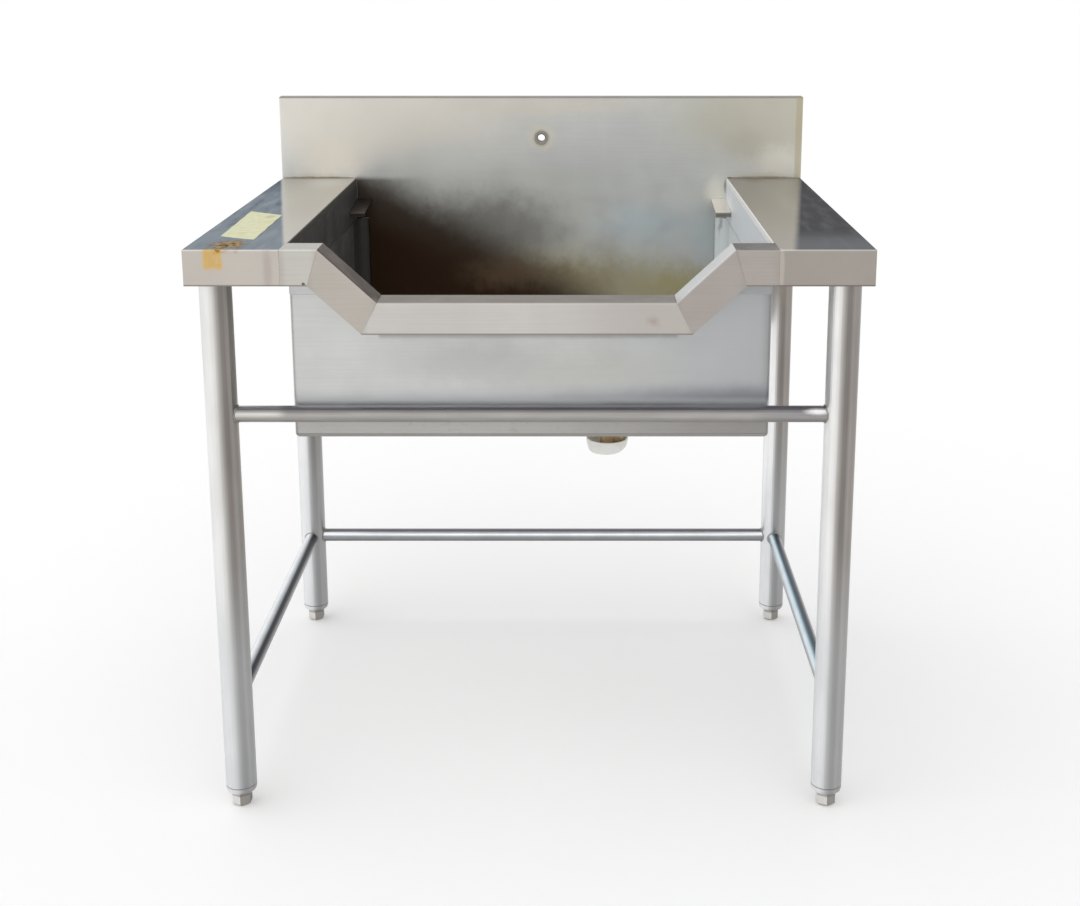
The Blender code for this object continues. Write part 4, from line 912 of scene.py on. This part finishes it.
class FISHSINK_OT_welds(bpy.types.Operator):
    """Lay the weld beads where the rails meet the legs and along the sheet joints"""

    bl_idname = "fish_sink.welds"
    bl_label = "Welds"

    def execute(self, context):
        sizes = context.scene.fish_sink.sizes
        bright = weld_metal("brushed_tig_weld", "A09D97", "8F8774", "77777E")
        brown = weld_metal("tinted_tig_weld", "837A6D", "6C5C49", "57524B")
        # Shaded and lit copies of the weld metal, for the painted shade on the bowl's left and its
        # painted light on the right
        shaded = weld_metal("shaded_tig_weld", "2B2521", "332A22", "1E1A17")
        pale = weld_metal("lit_tig_weld", "C4C8C8", "B3AF9F", "A0A4A6")
        dusky = weld_metal("half_shaded_tig_weld", "555350", "4A453E", "48484A")

        turns = [2 * math.pi * step / RING_WELD_STEPS for step in range(RING_WELD_STEPS)]
        ripple = [1.0 + 0.12 * math.sin(turn * 24) for turn in turns]
        for rail, level_way, ends in (
            ("front_rail", "x", ("front_left", "front_right")),
            ("back_rail", "x", ("back_left", "back_right")),
            ("side_rail_left", "y", ("front_left", "back_left")),
            ("side_rail_right", "y", ("front_right", "back_right")),
        ):
            rail_middle, rail_half = box_middle(rail)
            for place, way in zip(ends, (1, -1)):
                leg_middle, leg_half = box_middle("leg_" + place)
                points = []
                for turn in turns:
                    across = rail_half.z * math.cos(turn)
                    reach = way * math.sqrt(leg_half.x**2 - across**2)
                    z = rail_middle.z + rail_half.z * math.sin(turn)
                    x, y = (reach, across) if level_way == "x" else (across, reach)
                    points.append((leg_middle.x + x, leg_middle.y + y, z))
                name = f"weld_{rail}_{place}"
                bead(name, points, sizes.weld_radius, ripple, bright, True)

        seam = sizes.seam_radius
        ripple = [1.0 + 0.15 * math.sin(step * 1.6) for step in range(SEAM_WELD_STEPS + 1)]
        wrap_low, wrap_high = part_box("bowl_wrap")
        for side, name, corner, wall in ((-1, "left", shaded, dusky), (1, "right", pale, pale)):
            low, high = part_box("rear_ledge_" + name)
            x = side * max(abs(low.x), abs(high.x))
            points = seam_points(
                (x, low.y, low.z + SUPPORT_LIP), (x, high.y, high.z - SUPPORT_SHEET)
            )
            bead("weld_rear_support_" + name, points, seam, ripple, corner)

            # The wing is tacked and run along the foot of the backsplash, and brown from the heat
            y = SPLASH_FACE - 0.0003
            points = seam_points(
                (side * (BOWL_WALL + 0.001), y, SHELF_TOP), (side * WING_END, y, SHELF_TOP)
            )
            tacks = []
            for step, point in enumerate(points):
                share = step / SEAM_WELD_STEPS
                point.z += 0.0004 * math.sin(share * 11.0 + side)
                tacks.append(1.0 + 0.9 * max(0.0, math.sin(share * 25.0 + side * 0.8)) ** 8)
            bead("weld_splash_" + name, points, seam, tacks, brown)

            # The wrap is welded up each rear corner of the bowl
            x, y = side * REAR_SEAM, SPLASH_FACE - 0.0001
            points = seam_points((x, y, wrap_low.z + 0.001), (x, y, wrap_high.z))
            bead("weld_rear_seam_" + name, points, 0.8 * seam, ripple, corner)

            # The collar above the wrap is welded to it all along the bowl's side
            x, z = side * (BOWL_WALL - 0.0001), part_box("collar_" + name)[0].z - 0.0001
            points = seam_points(
                (x, BOWL_FRONT + 0.009, z), (x, SPLASH_FACE - REAR_CORNER, z)
            )
            bead("weld_collar_" + name, points, 0.6 * seam, ripple, wall)

            # A small filler plate closes the corner between the round wrap and the square collar
            shape = bmesh.new()
            y = SPLASH_FACE - 0.0002
            rim = [(BOWL_WALL - 0.0005, y), (REAR_SEAM - 0.002, y)]
            reach = REAR_CORNER - 0.0004
            for step in range(FILLER_STEPS + 1):
                turn = math.radians(90 - 90 * step / FILLER_STEPS)
                y = SPLASH_FACE - REAR_CORNER + reach * math.sin(turn)
                rim.append((REAR_SEAM + reach * math.cos(turn), y))
            rings = []
            for z in (wrap_high.z + 0.0003, wrap_high.z + 0.0013):
                rings.append([shape.verts.new((side * x, y, z)) for x, y in rim])
            skin(shape, rings, False)
            new_piece("corner_filler_" + name, shape, corner, "frame")
        return {"FINISHED"}


class FISHSINK_OT_threads(bpy.types.Operator):
    """Cut the threads on the screw feet, the brass tail and in the tap socket"""

    bl_idname = "fish_sink.threads"
    bl_label = "Threads"

    def execute(self, context):
        sizes = context.scene.fish_sink.sizes
        # M12 stud of cold-rolled 304: clean bright flanks
        steel = mill_steel("rolled_304_stud", "A9A7A3").finish()
        for place in PLACES:
            middle, half = box_middle("foot_stem_" + place)
            low, high = middle.z - half.z, middle.z + half.z
            shape = bmesh.new()
            threaded_rod(shape, middle, 0.0, half.x - 0.0009, half.x, low, high, sizes.foot_pitch)
            stud = new_piece("stud_" + place, shape, steel, "stem_" + place)
            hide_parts("foot_stem_" + place)

        middle, half = box_middle("brass_tail")
        low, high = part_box("brass_tail")
        under = high.z - TAIL_FLANGE
        root = TAIL_RADIUS - 0.0012
        shape = bmesh.new()
        rod = partial(threaded_rod, shape, middle, TAIL_BORE)
        rod(root, TAIL_RADIUS, low.z, under, sizes.pipe_pitch)
        rod(half.x, half.x, under, high.z, TAIL_FLANGE)
        brass = old_brass("threaded_brass").finish()
        tail = new_piece("threaded_tail", shape, brass, "frame")
        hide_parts("brass_tail")

        # The tap socket's thread starts and ends 3 mm inside the socket
        middle = box_middle("tap_socket")[0]
        low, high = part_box("tap_socket")
        start, reach = low.y + 0.003, TAP_BORE_RADIUS - 0.0001
        points = []
        for step in range(int((high.y - low.y - 0.006) / sizes.tap_pitch) * TAP_THREAD_STEPS + 1):
            turn = 2 * math.pi * step / TAP_THREAD_STEPS
            x, z = middle.x + reach * math.cos(turn), middle.z + reach * math.sin(turn)
            points.append((x, start + sizes.tap_pitch * step / TAP_THREAD_STEPS, z))
        bead("tap_thread", points, 0.0004, [1.0] * len(points), steel)
        return {"FINISHED"}


# The label's front left, front right, back right and back left corners
LABEL_CORNERS = ((-0.468, -0.282), (-0.412, -0.312), (-0.414, -0.083), (-0.473, -0.043))


class FISHSINK_OT_label(bpy.types.Operator):
    """Stick the blank paper label on the left wing"""

    bl_idname = "fish_sink.label"
    bl_label = "Paper label"

    def execute(self, context):
        settings = context.scene.fish_sink
        corners = [Vector((x, y, 0.0)) for x, y in LABEL_CORNERS]
        shape = bmesh.new()
        rims = []
        for lift in (0.0, settings.sizes.label_thickness):
            rows = []
            for row in range(LABEL_ROWS + 1):
                share = row / LABEL_ROWS
                left = corners[0].lerp(corners[3], share)
                right = corners[1].lerp(corners[2], share)
                line = []
                for column in range(LABEL_COLUMNS + 1):
                    point = left.lerp(right, column / LABEL_COLUMNS)
                    edge = (2 * column / LABEL_COLUMNS - 1) ** 4
                    wave = 0.00025 * (1 + math.sin(share * 23.0 + column * 0.9)) * edge
                    point.z = SHELF_TOP + 0.0001 + wave + lift
                    line.append(shape.verts.new(point))
                rows.append(line)
            for near, far in zip(rows, rows[1:]):
                for column in range(LABEL_COLUMNS):
                    after = column + 1
                    shape.faces.new((near[column], near[after], far[after], far[column]))
            rim = rows[0] + [row[-1] for row in rows[1:]] + rows[-1][-2::-1]
            rims.append(rim + [row[0] for row in rows[-2:0:-1]])
        join(shape, *rims)

        # Uncoated label paper gone yellow and damp-stained: matt, with soft fibre mottling
        made = Finish("aged_label_paper", (*settings.colours.label, 1.0), 0.0, 0.7)
        made.cloud(made.grain(90.0, 4.0), 0.06)
        made.lay(made.spots(30.0, 0.58, 0.72), "CFC48E", 0.6)
        made.lay(made.patch((-0.43, -0.10, 0.9), (0.012, 0.02, 0.01), 0.2, 0.01), "A3A08A", 0.5)
        made.reliefs.append((made.grain(1500.0, 2.0), 0.00003))
        new_piece("paper_label", shape, made.finish(), "frame")
        return {"FINISHED"}


# Studio

FLOOR_RADIUS = 40.0
KEY_WAY = (0.55, 0.62, -0.95)
KEY_SPREAD = math.radians(110)

# The camera, fitted to the photograph's framing
CAMERA_PLACE = (0.0692, -2.4985, 1.2919)
CAMERA_DIP = 0.2187
CAMERA_LENS = 49.79
CAMERA_SENSOR = 36.0
CAMERA_SHIFT = (-0.0347, -0.14)
CAMERA_FAR = 100.0


def seen_rays(tree):
    """1 for the rays that see a surface directly, in metal or through plastic."""
    seen = add_node(tree, "ShaderNodeLightPath", output="Is Camera Ray")
    rays = seen.node.outputs
    for other in (rays["Is Glossy Ray"], rays["Is Transmission Ray"]):
        seen = add_node(tree, "ShaderNodeMath", {"operation": "MAXIMUM"}, {0: seen, 1: other})
    return seen


class FISHSINK_OT_studio(bpy.types.Operator):
    """Set up the pale floor, the soft light and the camera"""

    bl_idname = "fish_sink.studio"
    bl_label = "Studio"

    def execute(self, context):
        scene = context.scene
        settings = scene.fish_sink
        scene.view_settings.view_transform = "Standard"

        shape = bmesh.new()
        bmesh.ops.create_circle(shape, cap_ends=True, segments=96, radius=FLOOR_RADIUS)
        mesh = bpy.data.meshes.new("studio_floor")
        shape.to_mesh(mesh)
        shape.free()
        floor = bpy.data.objects.new("studio_floor", mesh)
        scene.collection.objects.link(floor)
        # Matt white paint, rolled: no gloss. The faint glow lifts it to white; the shadow stays.
        made = bpy.data.materials.new("painted_studio_floor")
        made.use_nodes = True
        tree = made.node_tree
        shader = tree.nodes["Principled BSDF"]
        shader.inputs["Base Color"].default_value = (*settings.colours.floor, 1.0)
        shader.inputs["Roughness"].default_value = 0.9
        shader.inputs["Specular IOR Level"].default_value = 0.0
        shader.inputs["Emission Color"].default_value = linear("FFFFFF")
        lift = {0: seen_rays(tree), 1: settings.studio.floor_glow}
        glow = add_node(tree, "ShaderNodeMath", {"operation": "MULTIPLY"}, lift)
        tree.links.new(glow, shader.inputs["Emission Strength"])
        mesh.materials.append(made)

        world = bpy.data.worlds.new("studio_world")
        scene.world = world
        world.use_nodes = True
        tree = world.node_tree
        background = tree.nodes["Background"]
        background.inputs["Color"].default_value = linear("FFFFFF")
        level = {"Value": seen_rays(tree), "To Min": settings.studio.world, "To Max": 1.0}
        level = add_node(tree, "ShaderNodeMapRange", None, level)
        tree.links.new(level, background.inputs["Strength"])

        lamp = bpy.data.lights.new("key_light", "SUN")
        lamp.energy = settings.studio.key
        lamp.angle = KEY_SPREAD
        key = bpy.data.objects.new("key_light", lamp)
        scene.collection.objects.link(key)
        key.rotation_euler = Vector(KEY_WAY).to_track_quat("-Z", "Y").to_euler()

        data = bpy.data.cameras.new("camera")
        data.lens = CAMERA_LENS
        data.sensor_width = CAMERA_SENSOR
        data.shift_x, data.shift_y = CAMERA_SHIFT
        data.clip_end = CAMERA_FAR
        camera = bpy.data.objects.new("camera", data)
        scene.collection.objects.link(camera)
        camera.location = CAMERA_PLACE
        camera.rotation_euler = (math.pi / 2 - CAMERA_DIP, 0.0, 0.0)
        scene.camera = camera
        return {"FINISHED"}


OPERATORS = (
    FISHSINK_OT_studio,
    FISHSINK_OT_back_panel,
    FISHSINK_OT_bowl,
    FISHSINK_OT_shelves,
    FISHSINK_OT_front_rim,
    FISHSINK_OT_tubes,
    FISHSINK_OT_waste,
    FISHSINK_OT_welds,
    FISHSINK_OT_threads,
    FISHSINK_OT_label,
)


class FISHSINK_PT_panel(bpy.types.Panel):
    """Steps that finish the fish sink"""

    bl_label = "Fish Sink"
    bl_idname = "FISHSINK_PT_panel"
    bl_space_type = "VIEW_3D"
    bl_region_type = "UI"
    bl_category = "Fish Sink"

    def draw(self, context):
        layout = self.layout
        settings = context.scene.fish_sink
        for group in (settings.colours, settings.sizes, settings.studio):
            box = layout.box()
            for name in group.__annotations__:
                box.prop(group, name)
        for operator in OPERATORS:
            layout.operator(operator.bl_idname)


GROUPS = (FishSinkColours, FishSinkSizes, FishSinkStudio, FishSinkSettings)
CLASSES = GROUPS + OPERATORS + (FISHSINK_PT_panel,)


def register():
    for item in CLASSES:
        bpy.utils.register_class(item)
    bpy.types.Scene.fish_sink = PointerProperty(type=FishSinkSettings)


def unregister():
    del bpy.types.Scene.fish_sink
    for item in reversed(CLASSES):
        bpy.utils.unregister_class(item)


def main():
    register()
    for operator in OPERATORS:
        group, name = operator.bl_idname.split(".")
        getattr(getattr(bpy.ops, group), name)()


if __name__ == "__main__":
    main()
